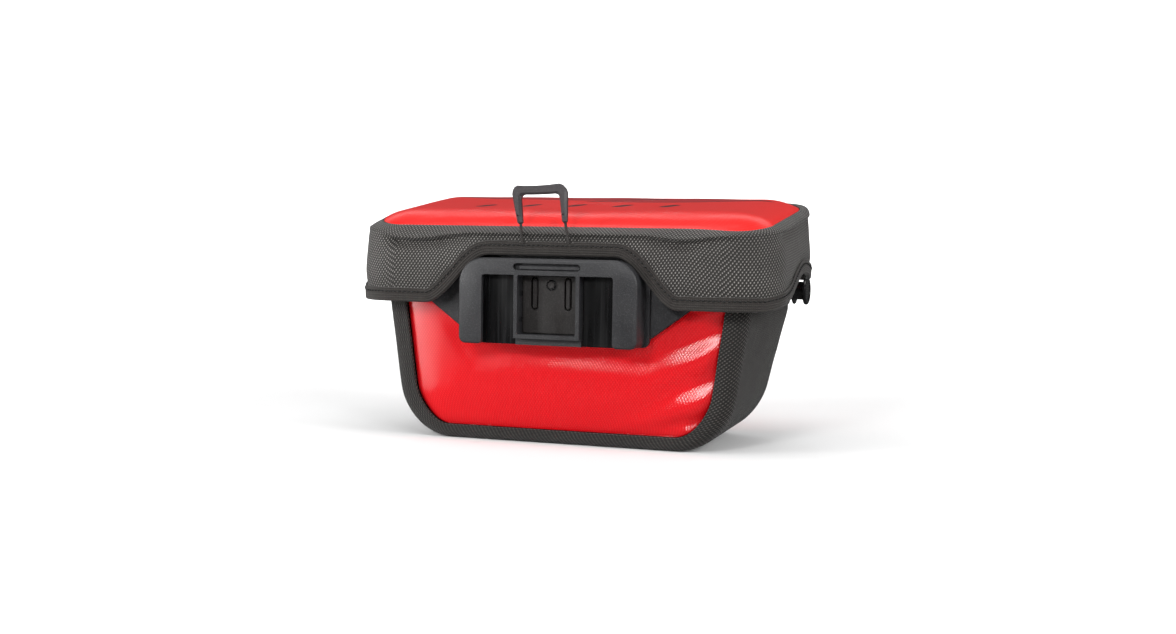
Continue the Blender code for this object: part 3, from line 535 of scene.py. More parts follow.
def braided_cord(name, tint):
    """Braided polyester cord: two sets of strands that cross at a slant, 1.2 mm apart."""
    made, tree, shader = start_material(name, roughness=0.6)
    place = add_node(tree, "ShaderNodeUVMap", uv_map="cloth")
    split = add_node(tree, "ShaderNodeSeparateXYZ", (place,))
    turns = [add_node(tree, "ShaderNodeMath", (socket, 2 * math.pi / (1.2 * MM)), operation="MULTIPLY")
             for socket in split.outputs[:2]]
    phase = add_node(tree, "ShaderNodeMath", turns, operation="ADD")
    wave = add_node(tree, "ShaderNodeMath", (phase,), operation="SINE")
    tone = add_node(tree, "ShaderNodeMapRange", (wave, 0.0, 1.0, 0.0, 0.7), **EASED)
    finish_surface(tree, shader, tone, toned(tint), toned(tint, 3), None, ((wave, 0.1 * MM, 1.0),))
    return made


def add_object(name, data):
    """An object of the scene for a mesh, a light or a camera."""
    made = bpy.data.objects.new(name, data)
    bpy.context.scene.collection.objects.link(made)
    return made


def evaluated_mesh(thing):
    """A plain mesh of an object with its modifiers."""
    bpy.context.view_layer.update()
    return bpy.data.meshes.new_from_object(thing.evaluated_get(bpy.context.evaluated_depsgraph_get()))


def finish_mesh(name, bm, material, sharp=None):
    """Makes the object of a piece, shaded smooth, that rides on the bag."""
    mesh = bpy.data.meshes.new(name)
    bm.to_mesh(mesh)
    bm.free()
    piece = add_object(name, mesh)
    mesh.materials.append(material)
    mesh.shade_smooth()
    if sharp:
        mesh.set_sharp_from_angle(angle=math.radians(sharp))
    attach(piece, "root")
    return piece


def cloth_sheet(name, rows, material, closed=False):
    """A sheet through rows of points, with its own map in metres along and across the cloth."""
    bm = bmesh.new()
    uv_layer = bm.loops.layers.uv.new("cloth")
    grid = [[bm.verts.new(point) for point in row] for row in rows]
    count = len(rows[0])
    reference = rows[len(rows) // 2]
    along = [0.0]
    for index in range(count if closed else count - 1):
        along.append(along[-1] + (reference[(index + 1) % count] - reference[index]).length)
    if closed:
        pitch = bpy.context.scene.bag_sizes.weave_pitch
        whole = round(along[-1] / pitch) * pitch
        along = [place * whole / along[-1] for place in along]
    across = [[0.0] * count]
    for upper, lower in zip(rows, rows[1:]):
        across.append([down + (low - high).length for down, high, low in zip(across[-1], upper, lower)])
    for level in range(len(rows) - 1):
        for index in range(count if closed else count - 1):
            after = (index + 1) % count
            corners = ((level, index, index), (level, after, index + 1),
                       (level + 1, after, index + 1), (level + 1, index, index))
            face = bm.faces.new([grid[row][column] for row, column, _ in corners])
            for loop, (row, column, place) in zip(face.loops, corners):
                loop[uv_layer].uv = (along[place], across[row][column])
    bm.normal_update()
    middle = Vector((0.0, 0.0, RIDGE_Z / 2))
    total = sum(face.normal.dot(face.calc_center_median() - middle) * face.calc_area() for face in bm.faces)
    if total < 0:
        bmesh.ops.reverse_faces(bm, faces=bm.faces)
    return finish_mesh(name, bm, material)


def add_thickness(piece, thickness):
    wall = piece.modifiers.new("Cloth thickness", "SOLIDIFY")
    wall.thickness = thickness
    wall.offset = -1.0
    wall.use_even_offset = True


def soft_noise(point, wave, seed):
    """Even noise from -1 to 1 with hills about a wave apart."""
    return noise.noise(Vector((point[0] / wave + seed, point[1] / wave - seed, point[2] / wave)))


def lid_ring(spacing):
    """The lid's ridge seen from above, as x, y and the outward direction, anticlockwise from the far right."""
    straight_x = LID_HALF - LID_CORNER
    low_y = LID_REAR + LID_CORNER
    high_y = LID_FRONT - LID_CORNER
    ring = []
    sides = (
        ((straight_x, LID_FRONT), (-straight_x, LID_FRONT), 90, (-straight_x, high_y)),
        ((-LID_HALF, high_y), (-LID_HALF, low_y), 180, (-straight_x, low_y)),
        ((-straight_x, LID_REAR), (straight_x, LID_REAR), -90, (straight_x, low_y)),
        ((LID_HALF, low_y), (LID_HALF, high_y), 0, (straight_x, high_y)),
    )
    for begin, end, facing, corner in sides:
        run = math.dist(begin, end)
        count = round(run / spacing)
        out = Vector((math.cos(math.radians(facing)), math.sin(math.radians(facing))))
        for share in steps(count):
            ring.append((begin[0] + share * (end[0] - begin[0]), begin[1] + share * (end[1] - begin[1]), *out))
        count = round(LID_CORNER * math.pi / 2 / spacing)
        for share in steps(count)[1:-1]:
            angle = math.radians(facing + 90 * share)
            out = Vector((math.cos(angle), math.sin(angle)))
            ring.append((corner[0] + LID_CORNER * out.x, corner[1] + LID_CORNER * out.y, *out))
    return ring


def inward_distance(x, y):
    """How far a place lies inside the lid's ridge, and how much that place faces the rear."""
    middle_y = (LID_REAR + LID_FRONT) / 2
    reach_x = abs(x) - (LID_HALF - LID_CORNER)
    reach_y = abs(y - middle_y) - ((LID_FRONT - LID_REAR) / 2 - LID_CORNER)
    outside = math.hypot(max(reach_x, 0.0), max(reach_y, 0.0))
    inside = min(max(reach_x, reach_y), 0.0)
    rearward = 0.0
    if y < middle_y and reach_y > 0:
        rearward = reach_y / math.hypot(max(reach_x, 0.0), reach_y)
    elif y < middle_y and reach_y > reach_x:
        rearward = 1.0
    return LID_CORNER - outside - inside, rearward


def rim_width(x):
    """The grey rim's width, narrower at the right end, where the red top rolls further out."""
    return RIM_WIDTH * (1 - RIM_NARROWS * smooth((x - 75 * MM) / (40 * MM)))


def far_lift(y):
    """How far the outer ridge climbs to the red top's height at the lid's far edge."""
    return FAR_LIFT * smooth((y - FAR_LIFT_START) / FAR_LIFT_RUN)


def lid_height(x, y):
    """The outer face of the closed lid above a place, with a firm roll next to the rim."""
    inward, rearward = inward_distance(x, y)
    rise = RIM_RISE + (RIM_RISE_REAR - RIM_RISE) * rearward
    height = RIDGE_Z + LID_SLOPE * (y - LID_REAR)
    on_rim = min(max(inward / RIM_WIDTH, 0.0), 1.0)
    height += rise * on_rim + far_lift(y) * (1 - on_rim)
    over = min(max((inward - RIM_WIDTH) / CROWN_RUN, 0.0), 1.0)
    lift = CROWN + RIM_RISE - rise
    return height + lift * (1 - (1 - over) ** 3)


def body_top(x, y):
    """The top edge of the body's wall, just under the lid."""
    over = min(max((inward_distance(x, y)[0] - RIM_WIDTH) / CROWN_RUN, 0.0), 1.0)
    return lid_height(x, y) - LID_BOARD - REST_GAP - CROWN * over * (1 - over)


def ridge_dip(x, normal_y):
    """How deep the rear ridge sags at a place on each side of the adapter, fading round the corners."""
    depth = sum(drop * smooth(1 - abs(x - middle) / half) for middle, half, drop in RIDGE_DIPS)
    return depth * smooth(-normal_y)


def hem_height(x, y, normal_x, normal_y):
    """The lowest edge of the hem under a place on the ridge."""
    depth = y - LID_REAR
    level = HEM_LEVEL * (1 - smooth(depth / (3 * HEM_LEVEL)))
    height = HEM_Z + LID_SLOPE * max(depth - level, 0.0)
    if -normal_y > 0.99:
        foot = NOTCH_FOOT if x < 0 else NOTCH_FOOT_RIGHT
        height += NOTCH_RISE * (1 - smooth((abs(x) - NOTCH_FLAT) / (foot - NOTCH_FLAT)))
    if abs(normal_x) > 0.5:
        height += ARCH_RISE * (1 - smooth(abs(y - STUD_Y) / ARCH_HALF))
    return height


def eased(values, reach):
    """Each value of a closed list averaged with its neighbours."""
    count = len(values)
    blank = values[0] * 0
    return [sum((values[(place + step) % count] for step in range(-reach, reach + 1)), blank) / (2 * reach + 1)
            for place in range(count)]


def hem_frames(ring):
    """For each place on the ridge: the hem's lowest point on the skirt, outwards, and up the cloth."""
    feet = []
    for x, y, normal_x, normal_y in ring:
        foot = Vector((x + normal_x * SKIRT_FLARE, y + normal_y * SKIRT_FLARE, 0.0))
        foot.z = hem_height(x, y, normal_x, normal_y)
        feet.append(foot)
    ups = []
    for index, (x, y, normal_x, normal_y) in enumerate(ring):
        along = feet[(index + 1) % len(feet)] - feet[index - 1]
        out = Vector((normal_x, normal_y, 0.0))
        bent = min(abs(normal_x), abs(normal_y)) > 0.01
        up = Vector((0.0, 0.0, 1.0)) if bent else out.cross(along).normalized()
        ups.append(up if up.z > 0 else -up)
    ups = [up.normalized() for up in eased(ups, 4)]
    return [(foot, Vector((nx, ny, 0.0)), up) for foot, up, (x, y, nx, ny) in zip(feet, ups, ring)]


def lid_cloth_rows(ring, frames, dent):
    """Rows of the grey lid cloth: a sloping rim, a crisp ridge, a crease under it, and the hanging skirt."""
    rim_steps = 6
    skirt_steps = 32
    rows = [[] for _ in range(rim_steps + skirt_steps + 1)]
    for (x, y, normal_x, normal_y), (foot, _, up) in zip(ring, frames):
        dip = ridge_dip(x, normal_y)
        for level in range(rim_steps):
            share = 1 - level / rim_steps
            reach = rim_width(x) * share
            px, py = x - normal_x * reach, y - normal_y * reach
            puff = RIM_PUFF * math.sin(math.pi * share) * (1 - share)
            rows[level].append(Vector((px, py, lid_height(px, py) - dip * (1 - share) + puff)))
        ridge = lid_height(x, y) - dip
        bottom = foot.z + (TAPE_WALL + SEAM_GAP) / up.z
        drop = ridge - bottom
        side = SIDE_CREASE * abs(normal_x) * smooth((10 * MM - y) / (40 * MM))
        straight = (1 - 2 * abs(normal_x * normal_y)) ** 2
        pinch = min(DIP_CREASE * dip, DIP_CREASE_MOST)
        for level in range(skirt_steps + 1):
            share = (level / skirt_steps) ** 1.5
            down = drop * share
            flare = SKIRT_FLARE * smooth(share * 1.4)
            under = down - CREASE_START
            groove = smooth(under / CREASE_FALL) * (1 - smooth((under - CREASE_FALL) / CREASE_RUN))
            crease = (RIDGE_CREASE + pinch + side) * straight * groove
            crease += HEM_CREASE * bump(drop - TAPE_HEIGHT - down, HEM_CREASE_WIDTH)
            lip = RIDGE_LIP * straight * bump(down, RIDGE_LIP_WIDTH)
            place = (x, y, ridge - down)
            free = smooth(down / (6 * MM)) * smooth((drop - TAPE_HEIGHT * 1.1 - down) / (8 * MM))
            wave = dent * free * soft_noise(place, SKIRT_DENT_WAVE, 3.1)
            offset = flare - crease + lip + wave
            rows[rim_steps + level].append(
                Vector((x + normal_x * offset, y + normal_y * offset, ridge - down)))
    return rows


def half_outline(lean, radius):
    """Half a body end from its shoulder to the bottom's middle: x, z and the outward direction."""
    tilt = math.atan(lean)
    side = Vector((math.cos(tilt), -math.sin(tilt)))
    arc_top = radius * (1 - math.sin(tilt))
    arc_start_x = BODY_HALF - lean * (SHOULDER_Z - arc_top)
    centre_x = arc_start_x - radius * side.x
    points = []
    for share in steps(24)[:-1]:
        z = SHOULDER_Z + share * (arc_top - SHOULDER_Z)
        points.append((BODY_HALF - lean * (SHOULDER_Z - z), z, side))
    for share in steps(24):
        angle = -tilt + share * (tilt - math.pi / 2)
        out = Vector((math.cos(angle), math.sin(angle)))
        points.append((centre_x + radius * out.x, radius + radius * out.y, out))
    for share in steps(24)[1:]:
        points.append((centre_x * (1 - share), 0.0, Vector((0.0, -1.0))))
    return points


def border_width(out):
    """The grey border beside a red end, which narrows along the bottom."""
    return BORDER + (BORDER_BELOW - BORDER) * max(-out.y, 0.0) ** 5


def gusset_path(out):
    """The gusset from rear border to front border: share of the depth, and inward reach."""
    border = border_width(out)
    radius = EDGE_RADIUS + (EDGE_RADIUS_BELOW - EDGE_RADIUS) * max(-out.y, 0.0) ** 5
    turn = [math.radians(90 * share) for share in steps(8)]
    rear = [(radius * (1 - math.sin(a)), radius * (1 - math.cos(a))) for a in turn]
    path = [(0.0, border + (radius - border) * share) for share in steps(4)[:-1]]
    path += [(y / BODY_DEPTH, reach) for reach, y in rear]
    inner = radius / BODY_DEPTH
    middle = [(inner + (1 - 2 * inner) * share, 0.0) for share in steps(36)[1:-1]]
    front = [(1 - share, reach) for share, reach in reversed(path)]
    return path + middle + front


def side_swell(share, z):
    """How far the soft side fills out, 0 to 1: fullest under the stud, and nothing at the bottom."""
    crest = math.log(0.5) / math.log(STUD_Y_SHARE)
    upward = smooth((z - BULGE_START_Z) / (SHOULDER_Z - BULGE_START_Z))
    return math.sin(math.pi * min(max(share, 0.0), 1.0) ** crest) * upward


def gusset_point(rear, front, share, reach, dent=0.0):
    """A point of the gusset between matching places of the two ends, softly dented."""
    x = rear[0] + share * (front[0] - rear[0])
    z = rear[1] + share * (front[1] - rear[1])
    out = (rear[2] + share * (front[2] - rear[2])).normalized()
    offset = SIDE_BULGE * side_swell(share, z) - reach
    point = Vector((x + out.x * offset, REAR_Y + share * BODY_DEPTH, z + out.y * offset))
    if reach < EDGE_RADIUS / 2:
        hold = smooth((z - 6 * MM) / (30 * MM)) * math.sin(math.pi * share)
        hold *= smooth(math.dist((point.y, point.z), (STUD_Y, STUD_Z)) / (20 * MM) - 0.4)
        wave = soft_noise(point, 26 * MM, 7.3) + 0.4 * soft_noise(point, 11 * MM, 1.7)
        point += Vector((out.x, 0.0, out.y)) * (dent * 1.4 * hold * (wave - 0.35))
    return point


def gusset_rows(dent):
    """Rows of the gusset from its left top round the bottom to its right top."""
    right = []
    for rear, front in zip(half_outline(REAR_LEAN, REAR_RADIUS), half_outline(FRONT_LEAN, FRONT_RADIUS)):
        right.append([gusset_point(rear, front, *place, dent) for place in gusset_path(rear[2])])
    upper = []
    shoulder = (BODY_HALF, SHOULDER_Z, Vector((1.0, 0.0)))
    for share, reach in gusset_path(shoulder[2]):
        point = gusset_point(shoulder, shoulder, share, reach)
        point.z = body_top(point.x, point.y)
        upper.append(point)
    top = []
    for share in steps(14)[:-1]:
        top.append([high + share * (low - high) for high, low in zip(upper, right[0])])
    right = top + right
    left = [[Vector((-p.x, p.y, p.z)) for p in row] for row in reversed(right[:-1])]
    return right + left


def panel_fill(x, z, half, low, facing_rear, pucker):
    """How far a red end stands out: held in by its seam, filled below the adapter, puckered at one side."""
    edge = min(half - abs(x), z - low)
    tuck = SEAM_TUCK * math.exp(-max(edge, 0.0) / TUCK_RUN)
    plate_free = smooth((WING_CLEAR_Z + 0.9 * max(abs(x) - FRAME_HALF, 0.0) - z) / (16 * MM))
    fill = PANEL_FILL * plate_free * (1 - (x / half) ** 2) * smooth((z - low) / (22 * MM))
    lift = fill - tuck
    if facing_rear:
        inward = max(half - x, 0.0)
        phase = 2 * math.pi * (z - PUCKER_Z + PUCKER_SLANT * inward) / PUCKER_WAVE
        near = bump(inward - 8 * MM, 30 * MM) * smooth((z - low) / (12 * MM))
        lift += pucker * near * (math.cos(phase) - 0.6)
    sag = soft_noise((x, 0.0, z), 34 * MM, 5.5 if facing_rear else 9.2)
    return lift + 0.5 * MM * sag * smooth(edge / (14 * MM))


def panel_rows(lean, radius, plane_y, outward, pucker):
    """Rows of a red end from its top edge to its bottom one, each from left to right."""
    seam = 0.2 * MM
    edge = [(x - out.x * (border_width(out) + seam), z - out.y * (border_width(out) + seam))
            for x, z, out in half_outline(lean, radius)]
    low = min(z for _, z in edge)
    edge = [(half, z) for half, z in edge if half > 0.0]
    bottom = [point for point in edge if point[1] - low < 1e-5]
    edge = [point for point in edge if point[1] - low >= 1e-5] + bottom[:1]
    top_half = BODY_HALF - BORDER - seam
    shoulder = edge[0][1]
    high = body_top(top_half, plane_y)
    upper = [(top_half, shoulder + (high - shoulder) * (1 - share)) for share in steps(18)[:-1]]
    rows = []
    for half, z in upper + edge:
        row = []
        for share in steps(120):
            x = half * (2 * share - 1)
            lift = -SEAM_TUCK * math.exp(-(half - abs(x)) / TUCK_RUN)
            if z < SHOULDER_Z:
                lift = panel_fill(x, z, half, low, outward < 0, pucker)
            lift = min(lift, 0.0) if z > FRAME_FOOT_Z - 4 * MM and abs(x) < FRAME_HALF + 2 * MM else lift
            row.append(Vector((x, plane_y + outward * (lift - PANEL_RECESS), z)))
        rows.append(row)
    return rows


def lid_top_rows(ring):
    """Rings of the red lid top, from the rim inwards."""
    middle = Vector((0.0, (LID_REAR + LID_FRONT) / 2))
    shares = [0.0, 0.004, 0.012, 0.025] + [0.025 + 0.935 * share**1.2 for share in steps(40)[1:]]
    rows = []
    for share in shares:
        row = []
        for x, y, normal_x, normal_y in ring:
            inset = rim_width(x) + RIM_GAP
            point = Vector((x - normal_x * inset, y - normal_y * inset))
            point += share * (middle - point)
            wave = 0.35 * MM * soft_noise((point.x, point.y, 0.0), 38 * MM, 2.2) * smooth(share * 8)
            seat = 0.5 * MM * (1 - smooth(share * 60))
            row.append(Vector((point.x, point.y, lid_height(point.x, point.y) + wave - seat)))
        rows.append(row)
    return rows


def tape_profile():
    """The tape's section: outward reach and height up the cloth, round the fold from the outer upper edge."""
    outer = TAPE_GAP + TAPE_WALL
    inner = -(LID_CLOTH + TAPE_GAP + TAPE_WALL)
    middle = (outer + inner) / 2
    half = (outer - inner) / 2
    points = [(outer - 0.3 * MM, TAPE_HEIGHT), (outer, TAPE_HEIGHT - 0.3 * MM)]
    for share in (0.12, 0.2, 0.25, 0.3, 0.35, 0.4, 0.5, 0.65, 0.8):
        fall = TAPE_HEIGHT * share
        groove = STITCH_GROOVE * bump(fall - STITCH_DROP, 0.5 * MM)
        points.append((outer - groove + 0.15 * MM * math.sin(math.pi * share), TAPE_HEIGHT - fall))
    for share in steps(8):
        angle = math.pi * share
        points.append((middle + half * math.cos(angle), FOLD_HEIGHT * (1 - math.sin(angle))))
    points += [(inner, TAPE_HEIGHT * share) for share in (0.4, 0.7)]
    points += [(inner, TAPE_HEIGHT), (inner + TAPE_WALL, TAPE_HEIGHT)]
    points += [(inner + TAPE_WALL, TAPE_WALL + TAPE_GAP), (TAPE_GAP, TAPE_WALL + TAPE_GAP)]
    points += [(TAPE_GAP, TAPE_HEIGHT)]
    return points


def tape_piece(frames, material, dent):
    """The hem tape as one closed strip folded round the skirt's edge."""
    profile = tape_profile()
    around = [0.0]
    for first, second in zip(profile, profile[1:] + profile[:1]):
        around.append(around[-1] + math.dist(first, second))
    bm = bmesh.new()
    uv_layer = bm.loops.layers.uv.new("cloth")
    loops = []
    along = [0.0]
    for index, (foot, out, up) in enumerate(frames):
        wave = 0.35 * dent * soft_noise(foot, 9 * MM, 4.4)
        lift = 0.5 * dent * soft_noise(foot, 16 * MM, 6.1)
        pinch = sum(bump(foot.x - x, 2.2 * MM) for x in CORD_X) if out.y < -0.9 else 0.0
        loop = []
        for reach, rise in profile:
            top = rise / TAPE_HEIGHT
            swell = wave * top * (1 if reach > 0 else 0)
            fall = CORD_PINCH * pinch * top * (1 if reach > 0 else 0)
            loop.append(bm.verts.new(foot + out * (reach + swell) + up * (rise + lift * top - fall)))
        loops.append(loop)
        after = frames[(index + 1) % len(frames)][0]
        along.append(along[-1] + (after - foot).length)
    count = len(profile)
    for index, loop in enumerate(loops):
        after = loops[(index + 1) % len(loops)]
        for corner in range(count):
            following = (corner + 1) % count
            face = bm.faces.new((loop[corner], after[corner], after[following], loop[following]))
            places = ((index, corner), (index + 1, corner), (index + 1, corner + 1), (index, corner + 1))
            for corner_loop, (station, level) in zip(face.loops, places):
                corner_loop[uv_layer].uv = (along[station], around[level])
    bmesh.ops.recalc_face_normals(bm, faces=bm.faces)
    return finish_mesh("hem_tape_cloth", bm, material, 50)


def start_tree(name, inputs):
    """A geometry tree with named size inputs: the tree and its input node."""
    tree = bpy.data.node_groups.new(name, "GeometryNodeTree")
    tree.interface.new_socket("Geometry", in_out="INPUT", socket_type="NodeSocketGeometry")
    for label, kind in inputs:
        tree.interface.new_socket(label, in_out="INPUT", socket_type=kind)
    tree.interface.new_socket("Geometry", in_out="OUTPUT", socket_type="NodeSocketGeometry")
    return tree, add_node(tree, "NodeGroupInput")


def finish_tree(tree, geometry, material):
    """Ends a tree in real, smooth geometry with its material."""
    real = add_node(tree, "GeometryNodeRealizeInstances", {"Geometry": geometry})
    soft = add_node(tree, "GeometryNodeSetShadeSmooth", {"Geometry": real})
    dressed = add_node(tree, "GeometryNodeSetMaterial", {"Geometry": soft, "Material": material})
    add_node(tree, "NodeGroupOutput", {"Geometry": dressed})


def row_of_stitches(material):
    """Beads of thread along a line, each laid along it."""
    sizes = [("Pitch", "NodeSocketFloat"), ("Half Length", "NodeSocketFloat"), ("Half Width", "NodeSocketFloat")]
    tree, entry = start_tree("row of stitches", sizes)
    line = add_node(tree, "GeometryNodeMeshToCurve", {"Mesh": entry.outputs["Geometry"]})
    places = add_node(tree, "GeometryNodeCurveToPoints", {"Curve": line, "Length": entry.outputs["Pitch"]},
                      mode="LENGTH")
    bead = add_node(tree, "GeometryNodeMeshUVSphere", {"Segments": 8, "Rings": 6, "Radius": 1.0})
    size = add_node(tree, "ShaderNodeCombineXYZ", {"X": entry.outputs["Half Width"],
                                                   "Y": entry.outputs["Half Width"],
                                                   "Z": entry.outputs["Half Length"]})
    shape = add_node(tree, "GeometryNodeTransform", {"Geometry": bead, "Scale": size})
    laid = add_node(tree, "GeometryNodeInstanceOnPoints",
                    {"Points": places, "Instance": shape, "Rotation": places.outputs["Rotation"]})
    finish_tree(tree, laid, material)
    return tree


def ring_of_teeth(material):
    """Blocks round a circle in the upright plane, as on a knurled button."""
    sizes = [("Teeth", "NodeSocketInt"), ("Radius", "NodeSocketFloat"), ("Tooth", "NodeSocketVector")]
    tree, entry = start_tree("ring of teeth", sizes)
    circle = add_node(tree, "GeometryNodeCurvePrimitiveCircle",
                      {"Resolution": 64, "Radius": entry.outputs["Radius"]})
    places = add_node(tree, "GeometryNodeCurveToPoints", {"Curve": circle, "Count": entry.outputs["Teeth"]},
                      mode="COUNT")
    tooth = add_node(tree, "GeometryNodeMeshCube", {"Size": entry.outputs["Tooth"]})
    laid = add_node(tree, "GeometryNodeInstanceOnPoints",
                    {"Points": places, "Instance": tooth, "Rotation": places.outputs["Rotation"]})
    upright = add_node(tree, "GeometryNodeTransform", {"Geometry": laid, "Rotation": (math.pi / 2, 0.0, 0.0)})
    finish_tree(tree, upright, material)
    return tree


def grow(name, mesh, tree, values, place=(0.0, 0.0, 0.0)):
    """Runs a tree on a mesh with its named inputs set, and keeps the plain mesh that it makes."""
    base = add_object(name + "_guide", mesh)
    grown = base.modifiers.new("Repeat", "NODES")
    grown.node_group = tree
    for item in tree.interface.items_tree:
        if item.item_type == "SOCKET" and item.in_out == "INPUT" and item.name in values:
            grown[item.identifier] = values[item.name]
    made = evaluated_mesh(base)
    made.name = name
    made.transform(Matrix.Translation(place))
    bpy.data.objects.remove(base, do_unlink=True)
    piece = add_object(name, made)
    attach(piece, "root")
    return piece


def line_mesh(name, points, closed):
    """A mesh of edges only, through points."""
    made = bpy.data.meshes.new(name)
    edges = [(index, index + 1) for index in range(len(points) - 1)]
    if closed:
        edges.append((len(points) - 1, 0))
    made.from_pydata(points, edges, [])
    return made


def extruded(name, outline, back_y, front_y, material=None):
    """A closed outline in x and z, extruded between two depths. Without a material it's a helper."""
    bm = bmesh.new()
    ring = [bm.verts.new((x, back_y, z)) for x, z in outline]
    face = bm.faces.new(ring)
    lifted = bmesh.ops.extrude_face_region(bm, geom=[face])
    moved = [item for item in lifted["geom"] if isinstance(item, bmesh.types.BMVert)]
    bmesh.ops.translate(bm, verts=moved, vec=(0.0, front_y - back_y, 0.0))
    bmesh.ops.recalc_face_normals(bm, faces=bm.faces)
    if material:
        return finish_mesh(name, bm, material, 35)
    mesh = bpy.data.meshes.new(name)
    bm.to_mesh(mesh)
    bm.free()
    return add_object(name, mesh)


def arc(centre_x, centre_z, radius, start, sweep, count):
    """Points along an arc, with its start and its sweep in degrees."""
    angles = [math.radians(start + sweep * share) for share in steps(count)]
    return [(centre_x + radius * math.cos(angle), centre_z + radius * math.sin(angle)) for angle in angles]


def rectangle(low_x, high_x, low_z, high_z):
    """A rectangle's outline: lower left, lower right, upper right, upper left."""
    return [(low_x, low_z), (high_x, low_z), (high_x, high_z), (low_x, high_z)]


def rounded_box(low_x, high_x, low_z, high_z, radius):
    """The same outline with round corners."""
    points = []
    for (x, z), start in zip(rectangle(low_x, high_x, low_z, high_z), (180, 270, 0, 90)):
        centre_x = x + radius * (1 if x == low_x else -1)
        centre_z = z + radius * (1 if z == low_z else -1)
        points += arc(centre_x, centre_z, radius, start, 90, 5)
    return points


def slot_outline(middle_x, middle_z, length, width, upright):
    """A slot's outline with round ends."""
    radius = width / 2
    run = length / 2 - radius
    points = []
    for side, start in ((1, -90), (-1, 90)):
        for along, across in arc(side * run, 0.0, radius, start, 180, 8):
            offset = (-across, along) if upright else (along, across)
            points.append((middle_x + offset[0], middle_z + offset[1]))
    return points


def combine(piece, helpers, operation="DIFFERENCE"):
    """Cuts helpers out of a piece, or joins them to it, and removes them."""
    for helper in helpers:
        change = piece.modifiers.new(helper.name, "BOOLEAN")
        change.operation = operation
        change.solver = "EXACT"
        change.object = helper
    made = evaluated_mesh(piece)
    piece.modifiers.clear()
    old = piece.data
    piece.data = made
    bpy.data.meshes.remove(old)
    for helper in helpers:
        bpy.data.objects.remove(helper, do_unlink=True)


def add_bevel(piece, width, segments, clamped):
    """Bevels the edges where a piece turns by more than 30 degrees."""
    edge = piece.modifiers.new("Bevelled edges", "BEVEL")
    edge.width = width
    edge.segments = segments
    edge.limit_method = "ANGLE"
    edge.angle_limit = math.radians(30)
    edge.use_clamp_overlap = clamped


def round_edges(piece, width):
    """Rounds a moulded piece's edges and keeps its flats flat."""
    add_bevel(piece, width, 3, True)
    flat = piece.modifiers.new("Flat faces", "WEIGHTED_NORMAL")
    flat.keep_sharp = False


def chamfer_edges(piece, width, clamped=False):
    """Cuts a moulded piece's edges with flat chamfers, which show as thin bright lines."""
    add_bevel(piece, width, 1, clamped)
    combine(piece, [])
    piece.data.set_sharp_from_angle(angle=math.radians(30))


def frame_outline(grown):
    """The adapter frame seen from the rear: round shoulders and chamfered feet."""
    half = FRAME_HALF + grown
    top = FRAME_TOP_Z + grown
    radius = FRAME_SHOULDER + grown
    right = arc(half - FRAME_CHAMFER, FRAME_FOOT_Z + FRAME_CHAMFER, FRAME_CHAMFER, -90, 90, 6)
    right += arc(half - radius, top - radius, radius, 0, 90, 14)
    return right + [(-x, z) for x, z in reversed(right)]


def recess_outline(below):
    """The right recess seen from the rear: open below, a round upper corner, and a round foot on the leg."""
    points = [(WINDOW_HALF, RECESS_TOP_Z), (WINDOW_HALF, below), (LEG_INNER_HALF + FOOT_ROUND, below)]
    points += arc(LEG_INNER_HALF + FOOT_ROUND, FRAME_FOOT_Z + FOOT_ROUND, FOOT_ROUND, 270, -90, 6)
    return points + arc(LEG_INNER_HALF - RECESS_ROUND, RECESS_TOP_Z - RECESS_ROUND, RECESS_ROUND, 0, 90, 5)


def slope_rim(piece):
    """Slopes the frame's front face down towards its outline, as a thin bright facet."""
    bm = bmesh.new()
    bm.from_mesh(piece.data)
    face = min(bm.faces, key=lambda item: item.calc_center_median().y)
    bmesh.ops.inset_region(bm, faces=[face], thickness=RIM_FACET, depth=0.0)
    for vert in {vert for item in bm.faces for vert in item.verts} - set(face.verts):
        if vert.co.y < FRAME_FACE + 0.01 * MM:
            vert.co.y += RIM_FACET_FALL
    bm.to_mesh(piece.data)
    bm.free()


